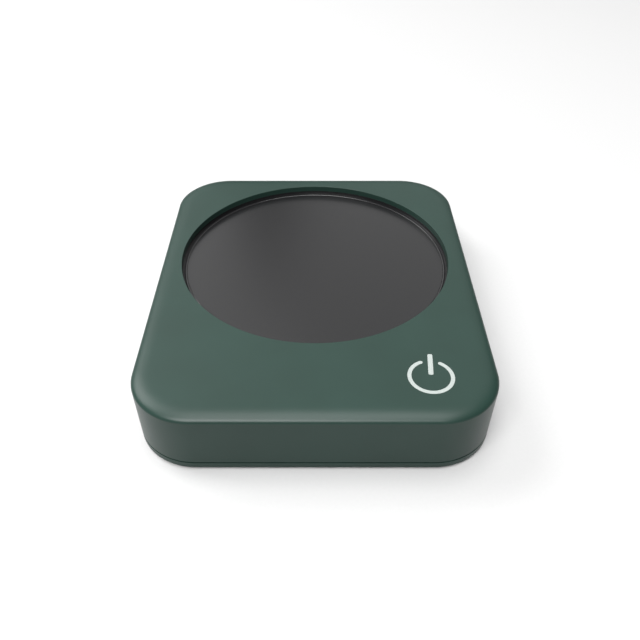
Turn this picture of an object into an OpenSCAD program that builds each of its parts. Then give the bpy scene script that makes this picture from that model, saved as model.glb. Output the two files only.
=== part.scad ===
// Electric mug warmer: a flat rounded housing with a round, recessed glass warming plate, a touch key in the
// front right corner and a low-voltage power socket in the back.
// Millimetres. +Z is up, +Y is the back, and the origin is under the middle of the housing, on the table.

/* [Housing] */
// Width of the housing, side to side
body_w = 110; // [109:1:140]
// Depth of the housing, front to back
body_d = 135; // [134:1:170]
// Height of the housing, from its underside to its top face
body_h = 22; // [21.5:0.5:30]
// Radius of the four upright corners
corner_r = 19.5; // [18:0.5:24]
// How far the rounded shoulder reaches in from the sides
shoulder_w = 5.5; // [4:0.25:6]
// How far the shoulder drops below the top face
shoulder_h = 2.1; // [1:0.1:3]
// How far each side leans in between the shoulder and the underside
draft = 0.3; // [0:0.05:0.5]
// Thickness of the cover's side walls
wall_t = 2.2; // [1.8:0.1:2.4]
// Thickness of the cover's top wall
top_t = 2; // [1.6:0.1:2.4]
// Chamfer that thickens the corner between the cover's walls inside
inner_edge = 0.8; // [0.2:0.1:1]
// Height of the base's visible edge, up to the seam
base_h = 2.5; // [2.2:0.1:3.2]
// Thickness of the base's floor
floor_t = 2; // [1.6:0.1:2.2]
// Chamfer round the base's lower edge
base_edge = 0.3; // [0.2:0.1:1.2]
// Height of the shadow line at the seam
seam_h = 0.4; // [0.2:0.1:0.6]
// Depth of the shadow line at the seam
seam_depth = 0.6; // [0.3:0.1:1]
// Thickness of the base's locating lip
lip_t = 1.2; // [1:0.1:1.6]
// Height of the locating lip above the seam
lip_h = 1.8; // [1:0.1:2.4]
// Clearance between moulded pieces that locate in each other
fit_gap = 0.15; // [0.1:0.05:0.25]

/* [Warming plate] */
// Radius of the round mouth in the top face
mouth_r = 48; // [44:0.5:48.5]
// Chamfer round the mouth's upper edge
mouth_edge = 0.4; // [0.2:0.1:0.6]
// Width of the top face behind the mouth
back_land = 7.7; // [7.4:0.1:12]
// Depth of the plate's surface below the top face
well_depth = 3.3; // [2.8:0.1:3.8]
// Thickness of the glass warming plate
plate_t = 4; // [3:0.25:4]
// Ground bevel round the plate's upper edge
plate_bevel = 0.5; // [0.3:0.1:0.8]
// How far the plate stands above the ring's black land
plate_proud = 0.2; // [0.1:0.05:0.4]
// Radial gap between the plate and its ring
plate_gap = 0.2; // [0.1:0.05:0.3]
// Width of the ring's black land round the plate
ring_land = 0.75; // [0.5:0.05:1.2]
// Width of the ring's seat under the plate's rim
ring_seat = 3.25; // [2.5:0.25:4]
// Thickness of the ring's seat
ring_seat_t = 1.5; // [1.2:0.1:1.6]
// Thickness of the ring's upright wall
ring_wall = 2.25; // [1.8:0.05:2.4]
// How far the ring's flange reaches out past the mouth
ring_flange = 3.2; // [3:0.1:3.5]
// Thickness of the ring's flange
flange_t = 1.6; // [1.4:0.1:2]
// Width of the gasket in the ring's flange
gasket_w = 1.8; // [1.4:0.1:2]
// Thickness of the gasket
gasket_t = 0.8; // [0.6:0.1:1]
// Gap between the ring's flange and the bosses that its ears are screwed to
ear_gap = 0.4; // [0.3:0.1:0.6]
// Thickness of the ring's screw ears
ear_t = 2.5; // [2:0.1:3]
// Thickness of the silicone bead that bonds the plate to the ring
bond_t = 0.2; // [0.1:0.05:0.3]

/* [Heater] */
// Thickness of the aluminium heat spreader
spreader_t = 1.5; // [1:0.1:1.5]
// Radial gap between the heat spreader and the ring's seat
spreader_gap = 1.5; // [1.2:0.1:2.5]
// Thickness of the polyimide heater film
film_t = 0.3; // [0.2:0.05:0.4]
// Width of the bare rim of the spreader outside the film
film_inset = 2.5; // [2:0.1:4]
// Height of the etched foil track
track_t = 0.15; // [0.1:0.05:0.2]
// Width of the foil track
track_w = 1.6; // [1:0.1:2]
// Spacing of the foil track's rings
track_pitch = 3; // [2.6:0.1:3.6]
// Thickness of the felt insulation pad
pad_t = 2; // [1.5:0.1:2]
// Thickness of the pressed steel clamp plate
clamp_t = 0.8; // [0.6:0.1:1]
// Width of the clamp plate's arms
arm_w = 8; // [7:0.5:10]
// Radius of the stiffening bead pressed into the clamp plate
bead_r = 0.5; // [0.3:0.1:0.6]
// Radius of the thermal fuse
fuse_r = 2; // [1.5:0.1:2.2]
// Length of the thermal fuse's body
fuse_len = 9; // [8:0.5:11]
// Distance of the thermal fuse from the plate's axis
fuse_run = 19; // [18:0.5:21]
// Radius of the thermistor's can
thermistor_r = 2.5; // [2:0.1:2.8]
// Radius of the holes round the thermistor in the pad and the clamp plate
sensor_hole_r = 5; // [4.6:0.1:6]

/* [Touch key] */
// Distance of the key's centre from the right side
key_from_side = 20.7; // [20:0.1:22]
// Distance of the key's centre from the front
key_from_front = 16.7; // [16:0.1:18]
// Outer radius of the key's broken ring
key_r = 7; // [6:0.1:7.2]
// Width of the ring's stroke
key_stroke = 1.2; // [0.8:0.1:1.6]
// Width of the bar
key_bar_w = 1.5; // [1:0.1:2]
// Length of the bar
key_bar_len = 8.8; // [6:0.1:9]
// How far the bar's outer end lies from the key's centre
key_bar_end = 9.5; // [8:0.1:9.6]
// Half of the angle that the ring leaves open for the bar
key_opening = 27; // [24:1:35]
// How far the key is turned clockwise, as seen from above
key_turn = 4.8; // [0:0.2:8]
// Thickness of the light guide's disc under the top wall
guide_t = 1; // [0.8:0.1:1.4]
// How far the light guide's disc reaches out past the mark
guide_rim = 0.8; // [0.6:0.1:1]
// Thickness of the light box's wall
light_box_t = 1; // [0.8:0.1:1.2]
// Mean radius of the touch spring's coil
coil_r = 5.2; // [4.6:0.1:5.6]
// Radius of the touch spring's wire
coil_wire_r = 0.35; // [0.25:0.05:0.4]
// Turns of the touch spring
coil_turns = 6; // [4:1:8]

/* [Control board] */
// Width of the board
board_w = 88; // [87:0.5:90]
// Depth of the board
board_d = 25; // [24.5:0.5:26]
// Thickness of the board
board_t = 1.6; // [1:0.1:1.6]
// Height of the board's posts above the floor
post_h = 4; // [3.6:0.1:4.2]
// Distance of the board's front edge from the front of the housing
board_inset = 4.3; // [4.2:0.1:4.6]
// Distance between the two pins of a header
pin_pitch = 2; // [2:0.1:2.5]

/* [Power socket] */
// Width of the socket's moulded body
socket_w = 9; // [8.4:0.1:10]
// Height of the socket's moulded body
socket_h = 9.2; // [9:0.1:9.6]
// Length of the socket's moulded body
socket_len = 14; // [13:0.5:15]
// Radius of the socket's bore
socket_bore_r = 3.15; // [3:0.05:3.2]
// Depth of the socket's bore
socket_bore_depth = 9.5; // [9:0.1:10]
// Radius of the socket's centre pin
pin_r = 1; // [0.8:0.05:1.25]
// Length of the centre pin inside the bore
pin_len = 8.6; // [8:0.1:9]
// How far the socket's face lies inside the back of the housing
socket_recess = 0.6; // [0.5:0.1:1]

/* [Feet and screws] */
// Height of the housing's underside above the table
foot_stand = 1; // [0.6:0.1:2]
// Radius of the rubber feet
foot_r = 5; // [4:0.5:6]
// Depth of the feet's recesses in the base
foot_sink = 0.5; // [0.3:0.1:0.8]
// Distance of the feet's centres from the sides, the front and the back
foot_inset = 18.8; // [17:0.1:22]
// Radius of the self-tapping screws over the thread
screw_r = 1.25; // [1:0.05:1.4]
// Radius of the screws' heads
head_r = 2.3; // [2:0.1:2.5]
// Height of the screws' heads
head_h = 1.4; // [1:0.1:1.6]
// Radius of the moulded screw bosses
boss_r = 3.2; // [3:0.1:3.5]

/* [Hidden] */
$fn = 96;
eps = 0.01; // overlap that joins two shapes of one solid
cut = 1; // how far a cutting tool runs past the face that it cuts
hold_gap = 0.05; // clearance round what is pressed, screwed or clipped in

// The corner radius of the cover's outside at height z, which the draft takes in below the shoulder
function outer_r(z) = corner_r - draft * max(0, shoulder_z - z) / (shoulder_z - under_z);

// Heights
under_z = foot_stand;
seam_z = under_z + base_h;
floor_z = under_z + floor_t;
top_z = under_z + body_h;
roof_z = top_z - top_t;
shoulder_z = top_z - shoulder_h;
plate_z = top_z - well_depth;
plate_under_z = plate_z - plate_t;
land_z = plate_z - plate_proud;
seat_z = plate_under_z - bond_t;
ring_under_z = seat_z - ring_seat_t;
spreader_z = plate_under_z - spreader_t;
film_z = spreader_z - film_t;
track_z = film_z - track_t;
pad_z = track_z - pad_t;
clamp_z = pad_z - clamp_t;
board_z = floor_z + post_h;
board_top_z = board_z + board_t;
guide_z = roof_z - guide_t;

// Plan positions and radii
core_x = body_w / 2 - corner_r;
core_y = body_d / 2 - corner_r;
corner_at = [[core_x, core_y], [-core_x, core_y], [-core_x, -core_y], [core_x, -core_y]];
well_y = body_d / 2 - back_land - mouth_r;
pocket_r = mouth_r - ring_land;
plate_r = pocket_r - plate_gap;
seat_r = pocket_r - ring_seat;
ring_outer_r = pocket_r + ring_wall;
flange_r = mouth_r + ring_flange;
groove_r = mouth_r + (ring_flange - gasket_w) / 2;
spreader_r = seat_r - spreader_gap;
film_r = spreader_r - film_inset;
pad_r = film_r + 0.5;
clamp_r = pad_r - 4.5;
key_x = body_w / 2 - key_from_side;
key_y = key_from_front - body_d / 2;
foot_x = body_w / 2 - foot_inset;
foot_y = body_d / 2 - foot_inset;

// Screws: the housing's bosses stand in its corners, and the ring's ears lie on the well's diagonals
lip_r = outer_r(seam_z) - wall_t - fit_gap;
boss_run = lip_r - boss_r - 0.3;
boss_z = seam_z + lip_h + 0.3;
boss_gap = 0.1;
sink_h = 1.2;
sink_slack = 0.3;
hole_slack = 0.15;
ear_r = flange_r + ear_gap + boss_r;
ear_top_z = ring_under_z + ear_t;
clamp_post_r = 2.5;
clamp_hold_r = seat_r + clamp_post_r - 0.5;

// Heater stack
notch_w = 14;
notch_depth = 7;
notch_y = -film_r + 6;
fuse_y = well_y - fuse_run;
fuse_gap = 0.3;
fuse_z = clamp_z - fuse_r - fuse_gap;
fuse_lead_r = 0.5;
fuse_lead = 4;
thermistor_sag = 0.4;
thermistor_z = clamp_z - thermistor_sag;

// Board, and what stands on it: places are from the middle of the board's front edge. The left screws keep to
// the board's left end, and the right ones keep clear of the key's light box
board_front_y = board_inset - body_d / 2;
board_back_y = board_front_y + board_d;
board_left = -board_w / 2;
board_screw_at = [[board_left + 7, 20], [key_x - 10.3, 21], [board_left + 17, 4], [key_x - 13.3, 4.5]];
board_rest_at = [board_w / 2 - 3, 22];
header_wall = 0.8;
header_len = 7;
header_h = 4.8;
header_from_back = 1;
header_pin = 0.5;
plug_gap = 0.1;
plug_len = 7.5;
plug_in = 5;
header_w = pin_pitch + 4.4;
plug_w = header_w - 2 * header_wall - 2 * plug_gap;
plug_h = header_h - 2 * header_wall - 2 * plug_gap;
plug_z = board_top_z + header_h / 2;
plug_back_y = board_back_y - header_from_back - plug_in + plug_len;
supply_x = -24;
heater_x = -8;
sensor_x = 6;

// Socket
socket_z = seam_z + fit_gap;
socket_face_y = body_d / 2 - socket_recess;
socket_back_y = socket_face_y - socket_len;
bore_z = socket_z + socket_h / 2;
bore_floor_y = socket_face_y - socket_bore_depth;
tab_len = 3;
tab_y = socket_back_y - tab_len;
collar_r = pin_r + 0.25;
contact_w = 2.4;
contact_t = 0.3;
contact_drop = 0.9;
contact_z = bore_z - socket_bore_r - contact_drop;

// Wires: the ends follow the pieces that they join, and the points between lie along each wire's route
supply_wire_r = 0.7;
heater_wire_r = 0.65;
sensor_wire_r = 0.45;
solder_y = well_y + notch_y - 2;
wire_stub = 1;
plus_route = [[-1, 46, 7.8], [-7, 42, 6.2], [-17, 38, 4.6], [-22.6, 33, 4.1], [-23, 27, 4], [-23, 4, 4],
    [-23, -20, 4], [-23, -28, 5], [-23, -32, 8.4]];
minus_route = [[-1.5, 46.5, 4.3], [-9, 44, 4.2], [-19, 42, 4.1], [-24.4, 36, 4], [-25, 28, 4], [-25, 4, 4],
    [-25, -20, 4], [-25, -28, 5], [-25, -32, 8.4]];
element_route = [[-6.4, -30, 9.6], [-5.5, -26, 9.4]];
fuse_in_route = [[-10, -30, 8], [-14, -21, 6.6], [-14, -12, 7.4], [-11.5, -7.8, 8.4]];
fuse_out_route = [[12.5, -8.4, 8.2], [13.5, -14, 7.2], [10, -22, 6.8], [3, -26, 7.6], [0.4, -25, 10]];
sensor_routes = [
    [[-0.4, 6.6, 9.6], [7, 4, 7.6], [15, -1, 7.2], [16.2, -14, 7.2], [14, -26, 7.8], [7.4, -31, 9.4]],
    [[1.2, 7.2, 9.8], [8.4, 5.6, 7.6], [16.4, 0, 7.2], [17.6, -14, 7.2], [15.6, -26.6, 7.8], [9, -31.4, 9.4]]
];

housing_colour = [0.25, 0.35, 0.32];
black_colour = [0.1, 0.1, 0.1];
steel_colour = [0.72, 0.73, 0.75];
cream_colour = [0.9, 0.88, 0.8];
contact_colour = [0.8, 0.78, 0.7];

// ---------- Shared shapes ----------

// A profile swept round the housing: x = 0 of the profile runs through the corners' centres
module swept_rim() {
    for (q = [0 : 3]) translate(corner_at[q]) rotate(90 * q) rotate_extrude(angle = 90) children();
    for (turn = [0, 180]) {
        rotate(turn) translate([core_x, core_y, 0]) rotate([90, 0, 0])
            linear_extrude(height = 2 * core_y) children();
        rotate(90 + turn) translate([core_y, core_x, 0]) rotate([90, 0, 0])
            linear_extrude(height = 2 * core_x) children();
    }
}

// The flat stretch between the corners' centres, from z up to z + h
module core_slab(z, h) {
    block(0, 0, z, [2 * (core_x + eps), 2 * (core_y + eps), h]);
}

// Copies in the housing's corners, at distance r from each corner's centre, with +X pointing out of it
module in_corners(r = 0) {
    for (q = [0 : 3]) translate(corner_at[q]) rotate(90 * q + 45) translate([r, 0, 0]) children();
}

module at_feet() {
    for (sx = [-1, 1], sy = [-1, 1]) translate([sx * foot_x, sy * foot_y, 0]) children();
}

// Copies on the well's four diagonals, at distance r from its axis, with +X pointing away from it
module on_diagonals(r) {
    for (a = [45 : 90 : 315]) translate([0, well_y, 0]) rotate(a) translate([r, 0, 0]) children();
}

// A cuboid that stands on height z, centred on x and y
module block(x, y, z, size) {
    translate([x - size.x / 2, y - size.y / 2, z]) cube(size);
}

// A self-tapping screw with a pan head and a cross recess: the head's seat is at z = 0, the shank points up
module tapping_screw(len) {
    recess_w = 0.5;
    recess_depth = head_h * 0.5;
    difference() {
        rotate_extrude() polygon([
            [0, -head_h], [head_r * 0.6, -head_h], [head_r, -head_h * 0.5], [head_r, 0],
            [screw_r, 0], [screw_r, len - screw_r], [screw_r * 0.4, len], [0, len]
        ]);
        for (turn = [0, 90]) rotate(turn)
            block(0, 0, -head_h - cut, [head_r, recess_w, cut + recess_depth]);
    }
}

// ---------- Wires ----------

function unit(v) = v / norm(v);
function tangent(p, i) = unit(p[min(i + 1, len(p) - 1)] - p[max(i - 1, 0)]);
function square_to(n, t) = unit(n - (n * t) * t);
function first_normal(t) = square_to(abs(t.z) < 0.9 ? [0, 0, 1] : [1, 0, 0], t);

// A normal at point i of a path, carried along from the first point without twist
function carried(p, i) = i == 0 ? first_normal(tangent(p, 0)) : square_to(carried(p, i - 1), tangent(p, i));

// A smooth curve through a few points, with n steps from each to the next
function between(a, b, c, d, t) =
    0.5 * (2 * b + (c - a) * t + (2 * a - 5 * b + 4 * c - d) * t * t + (3 * b - a - 3 * c + d) * t * t * t);
function smooth(p, n) = [
    for (i = [0 : len(p) - 2], k = [0 : n - 1])
        between(p[max(i - 1, 0)], p[i], p[i + 1], p[min(i + 2, len(p) - 1)], k / n),
    p[len(p) - 1]
];

// A round tube along a path's own points
module tube(p, r, sides) {
    last = len(p) - 1;
    normals = [for (i = [0 : last]) carried(p, i)];
    points = [
        for (i = [0 : last], k = [0 : sides - 1])
            let (a = 360 * k / sides)
            p[i] + r * (cos(a) * normals[i] + sin(a) * cross(tangent(p, i), normals[i]))
    ];
    faces = [
        [for (k = [0 : sides - 1]) k],
        for (i = [0 : last - 1], k = [0 : sides - 1])
            let (a = i * sides + k, b = i * sides + (k + 1) % sides)
            each [[a, a + sides, b], [b, a + sides, b + sides]],
        [for (k = [sides - 1 : -1 : 0]) last * sides + k]
    ];
    polyhedron(points, faces);
}

// An insulated wire from one end to the other by way of its route. Each end is a short straight stub, along
// the way given for it, so that it meets its piece squarely
module wire(from, from_way, route, to, to_way, r) {
    first = from + wire_stub * from_way;
    final = to + wire_stub * to_way;
    tube(concat([from], smooth(concat([first], route, [final]), 3), [to]), r, 8);
}

// ---------- Housing ----------

// Section of the cover's skin: drafted wall, rounded shoulder and flat top
module cover_skin() {
    polygon([
        [outer_r(seam_z), seam_z],
        for (a = [0 : 7.5 : 90])
            [corner_r - shoulder_w * (1 - cos(a)), shoulder_z + shoulder_h * sin(a)],
        [0, top_z],
        [0, roof_z],
        [corner_r - wall_t - inner_edge, roof_z],
        [corner_r - wall_t, roof_z - inner_edge],
        [outer_r(seam_z) - wall_t, seam_z]
    ]);
}

// A round boss with a blind pilot hole in its lower end
module pilot_boss(z, depth) {
    difference() {
        translate([0, 0, z]) cylinder(r = boss_r, h = roof_z - z + eps);
        translate([0, 0, z - cut]) cylinder(r = screw_r + hold_gap, h = depth + cut);
    }
}

// The opening for the power socket in the cover's back wall and in the base's lip
module socket_notch() {
    depth = wall_t + fit_gap + lip_t + 1;
    translate([-socket_w / 2 - fit_gap, body_d / 2 - depth, seam_z - eps])
        cube([socket_w + 2 * fit_gap, depth + cut, socket_h + 2 * fit_gap + eps]);
}

module top_cover() {
    screw_depth = 8;
    rib_t = 1.2;
    gusset = 4;
    web_run = boss_r - 0.6;
    color(housing_colour) difference() {
        union() {
            swept_rim() cover_skin();
            core_slab(roof_z, top_t);
            in_corners(boss_run) {
                pilot_boss(boss_z, screw_depth);
                // A web ties each corner boss to the corner's wall, and two gussets brace it under the roof
                translate([web_run, -rib_t / 2, boss_z])
                    cube([corner_r - wall_t - boss_run - web_run + 0.3, rib_t, roof_z - boss_z + eps]);
                for (turn = [90, 270]) rotate(turn) translate([web_run, -rib_t / 2, roof_z - gusset])
                    cube([gusset, rib_t, gusset + eps]);
            }
            on_diagonals(ear_r) pilot_boss(ear_top_z + boss_gap, roof_z - ear_top_z - 1);
        }
        translate([0, well_y, roof_z - cut]) cylinder(r = mouth_r, h = top_t + 2 * cut);
        translate([0, well_y, top_z - mouth_edge])
            cylinder(r1 = mouth_r, r2 = mouth_r + mouth_edge + eps, h = mouth_edge + eps);
        translate([key_x, key_y, roof_z - cut]) linear_extrude(height = top_t + 2 * cut) key_shape(hold_gap);
        socket_notch();
    }
}

// Section of the base: chamfered edge, shadow line at the seam, and the lip that locates in the cover
module base_skin() {
    lead_in = 0.4;
    polygon([
        [0, under_z],
        [outer_r(under_z) - base_edge, under_z],
        [outer_r(under_z + base_edge), under_z + base_edge],
        [outer_r(seam_z - seam_h), seam_z - seam_h],
        [outer_r(seam_z) - seam_depth, seam_z - seam_h],
        [outer_r(seam_z) - seam_depth, seam_z],
        [lip_r, seam_z],
        [lip_r, seam_z + lip_h - lead_in],
        [lip_r - lead_in, seam_z + lip_h],
        [lip_r - lip_t, seam_z + lip_h],
        [lip_r - lip_t, floor_z],
        [0, floor_z]
    ]);
}

// A round post on the base's floor, from its place in plan
module floor_post(x, y, r, h) {
    translate([x, y, floor_z - eps]) cylinder(r = r, h = h + eps);
}

// An upright rib on the base's floor, centred on x and y
module floor_rib(x, y, size) {
    block(x, y, floor_z - eps, size + [0, 0, eps]);
}

module base_cover() {
    rib_t = 1.2;
    rib_h = 0.8;
    cradle_t = 1.5;
    cradle_h = 5;
    cradle_len = socket_len - 6;
    cradle_y = socket_back_y + cradle_len / 2 + 1;
    cradle_x = socket_w / 2 + fit_gap + cradle_t / 2;
    guide_r = 1;
    guide_x = pin_pitch / 2 + supply_wire_r + 0.3 + guide_r;
    post_r = boss_r - 0.4;
    color(housing_colour) difference() {
        union() {
            swept_rim() base_skin();
            core_slab(under_z, floor_t);
            in_corners(boss_run) floor_post(0, 0, boss_r, boss_z - boss_gap - floor_z);
            for (at = board_screw_at) floor_post(at.x, board_front_y + at.y, post_r, post_h);
            floor_post(board_rest_at.x, board_front_y + board_rest_at.y, post_r, post_h);
            // Cradle for the power socket: a pad under it, a rib on each side and two stops behind it
            for (side = [-1, 1]) {
                floor_rib(side * cradle_x, cradle_y, [cradle_t, cradle_len, cradle_h]);
                floor_rib(side * (cradle_x - 1), socket_back_y - fit_gap - cradle_t / 2,
                    [cradle_t + 2, cradle_t, cradle_h]);
            }
            floor_rib(0, cradle_y, [2 * cradle_x, cradle_len, seam_z - floor_z]);
            // Stiffening ribs across the floor
            for (side = [-1, 1]) floor_rib(side * core_x / 2, 2, [rib_t, core_y + 6, rib_h]);
            for (row = [-1 : 1]) floor_rib(0, row * core_y / 2, [core_x + 6, rib_t, rib_h]);
            // Pairs of pegs that keep the supply wires in their lane
            for (row = [-1, 1], side = [-1, 1])
                floor_post(supply_x + side * guide_x, 2 + row * core_y / 2, guide_r, 3);
        }
        in_corners(boss_run) translate([0, 0, under_z - cut]) {
            cylinder(r = screw_r + hole_slack, h = boss_z);
            cylinder(r = head_r + sink_slack, h = cut + sink_h + head_h);
        }
        for (at = board_screw_at) translate([at.x, board_front_y + at.y, floor_z])
            cylinder(r = screw_r + hold_gap, h = post_h + cut);
        at_feet() translate([0, 0, under_z - cut]) cylinder(r = foot_r + hold_gap, h = cut + foot_sink);
        socket_notch();
    }
}

// A stick-on rubber foot, with a softened lower edge
module rubber_foot(sx, sy) {
    edge = 0.3;
    foot_h = foot_stand + foot_sink;
    color(black_colour) translate([sx * foot_x, sy * foot_y, 0]) rotate_extrude()
        polygon([[0, 0], [foot_r - edge, 0], [foot_r, edge], [foot_r, foot_h], [0, foot_h]]);
}

module cover_screws() {
    seat = under_z + sink_h + head_h;
    bite = 6.5;
    color(steel_colour) in_corners(boss_run) translate([0, 0, seat]) tapping_screw(boss_z - seat + bite);
}

// ---------- Warming plate and its ring ----------

module warming_plate() {
    color([0.16, 0.16, 0.17]) translate([0, well_y, 0]) rotate_extrude() polygon([
        [0, plate_under_z], [plate_r, plate_under_z], [plate_r, plate_z - plate_bevel],
        [plate_r - plate_bevel, plate_z], [0, plate_z]
    ]);
}

// The ring hangs under the mouth by four ears, and its flange presses a gasket against the roof
module plate_ring() {
    web_w = boss_r * 1.8;
    web_from = ring_outer_r - ring_wall / 2;
    post_hole = ring_under_z - pad_z + ring_seat_t * 0.7;
    color(black_colour) difference() {
        union() {
            translate([0, well_y, 0]) rotate_extrude() polygon([
                [seat_r, ring_under_z], [ring_outer_r, ring_under_z], [ring_outer_r, roof_z - flange_t],
                [flange_r, roof_z - flange_t], [flange_r, roof_z],
                [groove_r + gasket_w, roof_z], [groove_r + gasket_w, roof_z - gasket_t],
                [groove_r, roof_z - gasket_t], [groove_r, roof_z],
                [mouth_r, roof_z], [mouth_r, land_z], [pocket_r, land_z],
                [pocket_r, seat_z], [seat_r, seat_z]
            ]);
            on_diagonals(ear_r) translate([0, 0, ring_under_z]) cylinder(r = boss_r, h = ear_t);
            on_diagonals(web_from) translate([0, -web_w / 2, ring_under_z])
                cube([ear_r - web_from, web_w, ear_t]);
            on_diagonals(clamp_hold_r) translate([0, 0, pad_z])
                cylinder(r = clamp_post_r, h = ring_under_z - pad_z + eps);
        }
        on_diagonals(ear_r) translate([0, 0, ring_under_z - cut])
            cylinder(r = screw_r + hole_slack, h = ear_t + 2 * cut);
        on_diagonals(clamp_hold_r) translate([0, 0, pad_z - cut])
            cylinder(r = screw_r + hold_gap, h = cut + post_hole);
    }
}

module ring_screws() {
    bite = 3;
    color(steel_colour) on_diagonals(ear_r) translate([0, 0, ring_under_z]) tapping_screw(ear_t + bite);
}

module ring_gasket() {
    color([0.3, 0.3, 0.3]) translate([0, well_y, roof_z - gasket_t]) rotate_extrude()
        translate([groove_r, 0]) square([gasket_w, gasket_t]);
}

module plate_bond() {
    edge = 0.5;
    color([0.85, 0.85, 0.85]) translate([0, well_y, seat_z]) rotate_extrude()
        translate([seat_r + edge, 0]) square([plate_r - seat_r - 2 * edge, bond_t]);
}

// ---------- Heater stack ----------

module heat_spreader() {
    color([0.8, 0.81, 0.82]) translate([0, well_y, spreader_z]) cylinder(r = spreader_r, h = spreader_t);
}

module heater_film() {
    slack = 1;
    color([0.8, 0.5, 0.15]) translate([0, well_y, film_z]) difference() {
        cylinder(r = film_r, h = film_t);
        translate([0, 0, -cut]) cylinder(r = thermistor_r + slack, h = film_t + 2 * cut);
    }
}

// The etched foil: broken rings joined end to end, on alternate sides of a gap at the front. The inner end
// comes back out through the middle of the gap, and both ends have a solder pad
module track_plan() {
    half_gap = 4.5;
    link_x = half_gap + track_w / 2;
    pad = 3;
    first_r = sensor_hole_r + 4;
    last = floor((film_r - 3 - first_r) / track_pitch);
    last_r = first_r + last * track_pitch;
    last_side = last % 2 == 0 ? 1 : -1;
    function end_y(r) = -sqrt(r * r - link_x * link_x);
    for (i = [0 : last]) {
        r = first_r + i * track_pitch;
        side = i % 2 == 0 ? 1 : -1;
        difference() {
            circle(r = r + track_w / 2);
            circle(r = r - track_w / 2);
            translate([-half_gap, -r - track_w]) square([2 * half_gap, r + track_w]);
        }
        if (i < last) translate([side * link_x - track_w / 2, end_y(r + track_pitch)])
            square([track_w, end_y(r) - end_y(r + track_pitch)]);
    }
    translate([-link_x, end_y(first_r) - track_w / 2]) square([link_x + track_w / 2, track_w]);
    translate([-track_w / 2, -last_r]) square([track_w, last_r + end_y(first_r)]);
    for (x = [0, last_side * link_x]) translate([x - pad / 2, notch_y - 2 - pad / 2]) square(pad);
}

module heater_track() {
    color([0.75, 0.45, 0.25]) translate([0, well_y, track_z]) linear_extrude(height = track_t) track_plan();
}

// The notch in the pad and the clamp plate through which the wires reach the solder pads
module wire_notch(z, h) {
    depth = notch_depth + 6;
    block(0, well_y + notch_y + (notch_depth - depth) / 2, z - cut, [notch_w, depth, h + 2 * cut]);
}

module insulation_pad() {
    color([0.92, 0.9, 0.85]) difference() {
        translate([0, well_y, pad_z]) cylinder(r = pad_r, h = pad_t);
        translate([0, well_y, pad_z - cut]) cylinder(r = sensor_hole_r, h = pad_t + 2 * cut);
        wire_notch(pad_z, pad_t);
    }
}

// A pressed plate with four windows between its spokes, and arms that reach the ring's posts
module heater_clamp() {
    hub_r = sensor_hole_r + 6;
    rim_w = 7;
    spoke_w = 18;
    color(steel_colour) difference() {
        union() {
            translate([0, well_y, clamp_z]) cylinder(r = clamp_r, h = clamp_t);
            on_diagonals(clamp_hold_r) translate([0, 0, clamp_z]) cylinder(r = arm_w / 2, h = clamp_t);
            on_diagonals(clamp_r - 3) translate([0, -arm_w / 2, clamp_z])
                cube([clamp_hold_r - clamp_r + 3, arm_w, clamp_t]);
            // A bead pressed round the rim stiffens it
            translate([0, well_y, clamp_z + eps]) rotate_extrude() translate([clamp_r - rim_w / 2, 0])
                intersection() {
                    circle(r = bead_r, $fn = 24);
                    translate([-bead_r, -bead_r]) square([2 * bead_r, bead_r]);
                }
        }
        on_diagonals(clamp_hold_r) translate([0, 0, clamp_z - cut])
            cylinder(r = screw_r + hole_slack, h = clamp_t + 2 * cut);
        translate([0, well_y, clamp_z - cut]) cylinder(r = sensor_hole_r, h = clamp_t + 2 * cut);
        wire_notch(clamp_z, clamp_t);
        translate([0, well_y, clamp_z - cut]) linear_extrude(height = clamp_t + 2 * cut) difference() {
            circle(r = clamp_r - rim_w);
            circle(r = hub_r);
            for (a = [0, 90]) rotate(a) square([2 * clamp_r, spoke_w], center = true);
        }
    }
}

module clamp_screws() {
    bite = ring_seat_t * 0.5;
    color(steel_colour) on_diagonals(clamp_hold_r) translate([0, 0, clamp_z])
        tapping_screw(clamp_t + ring_under_z - pad_z + bite);
}

// The thermistor's can stands on its clip, in the holes of the stack, and touches the heat spreader
module thermistor() {
    edge = 0.4;
    color([0.15, 0.15, 0.15]) translate([0, well_y, 0]) rotate_extrude() polygon([
        [0, thermistor_z], [thermistor_r - edge, thermistor_z], [thermistor_r, thermistor_z + edge],
        [thermistor_r, spreader_z], [0, spreader_z]
    ]);
}

// A sprung strap across the clamp plate's hole, which presses the thermistor against the heat spreader
module thermistor_clip() {
    strap_t = 0.4;
    strap_w = 3;
    foot_len = 4.5;
    bend_x = sensor_hole_r + 0.3;
    rivet_r = 0.9;
    upper = [
        [-bend_x - foot_len, clamp_z], [-bend_x, clamp_z], [-thermistor_r, thermistor_z],
        [thermistor_r, thermistor_z], [bend_x, clamp_z], [bend_x + foot_len, clamp_z]
    ];
    lower = [for (i = [len(upper) - 1 : -1 : 0]) upper[i] - [0, strap_t]];
    color(steel_colour) {
        translate([0, well_y + strap_w / 2, 0]) rotate([90, 0, 0])
            linear_extrude(height = strap_w) polygon(concat(upper, lower));
        for (side = [-1, 1]) translate([side * (bend_x + foot_len / 2), well_y, clamp_z - strap_t - 0.5])
            cylinder(r = rivet_r, h = 0.5 + eps);
    }
}

// An axial thermal fuse, with a tapered neck and a lead at each end
module thermal_fuse() {
    neck = 1.2;
    end = fuse_len / 2;
    color([0.85, 0.8, 0.7]) translate([0, fuse_y, fuse_z]) rotate([0, 90, 0]) rotate_extrude() polygon([
        [0, -end - fuse_lead], [fuse_lead_r, -end - fuse_lead], [fuse_lead_r, -end - neck],
        [fuse_r * 0.5, -end - neck], [fuse_r, -end], [fuse_r, end], [fuse_r * 0.5, end + neck],
        [fuse_lead_r, end + neck], [fuse_lead_r, end + fuse_lead], [0, end + fuse_lead]
    ]);
}

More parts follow.
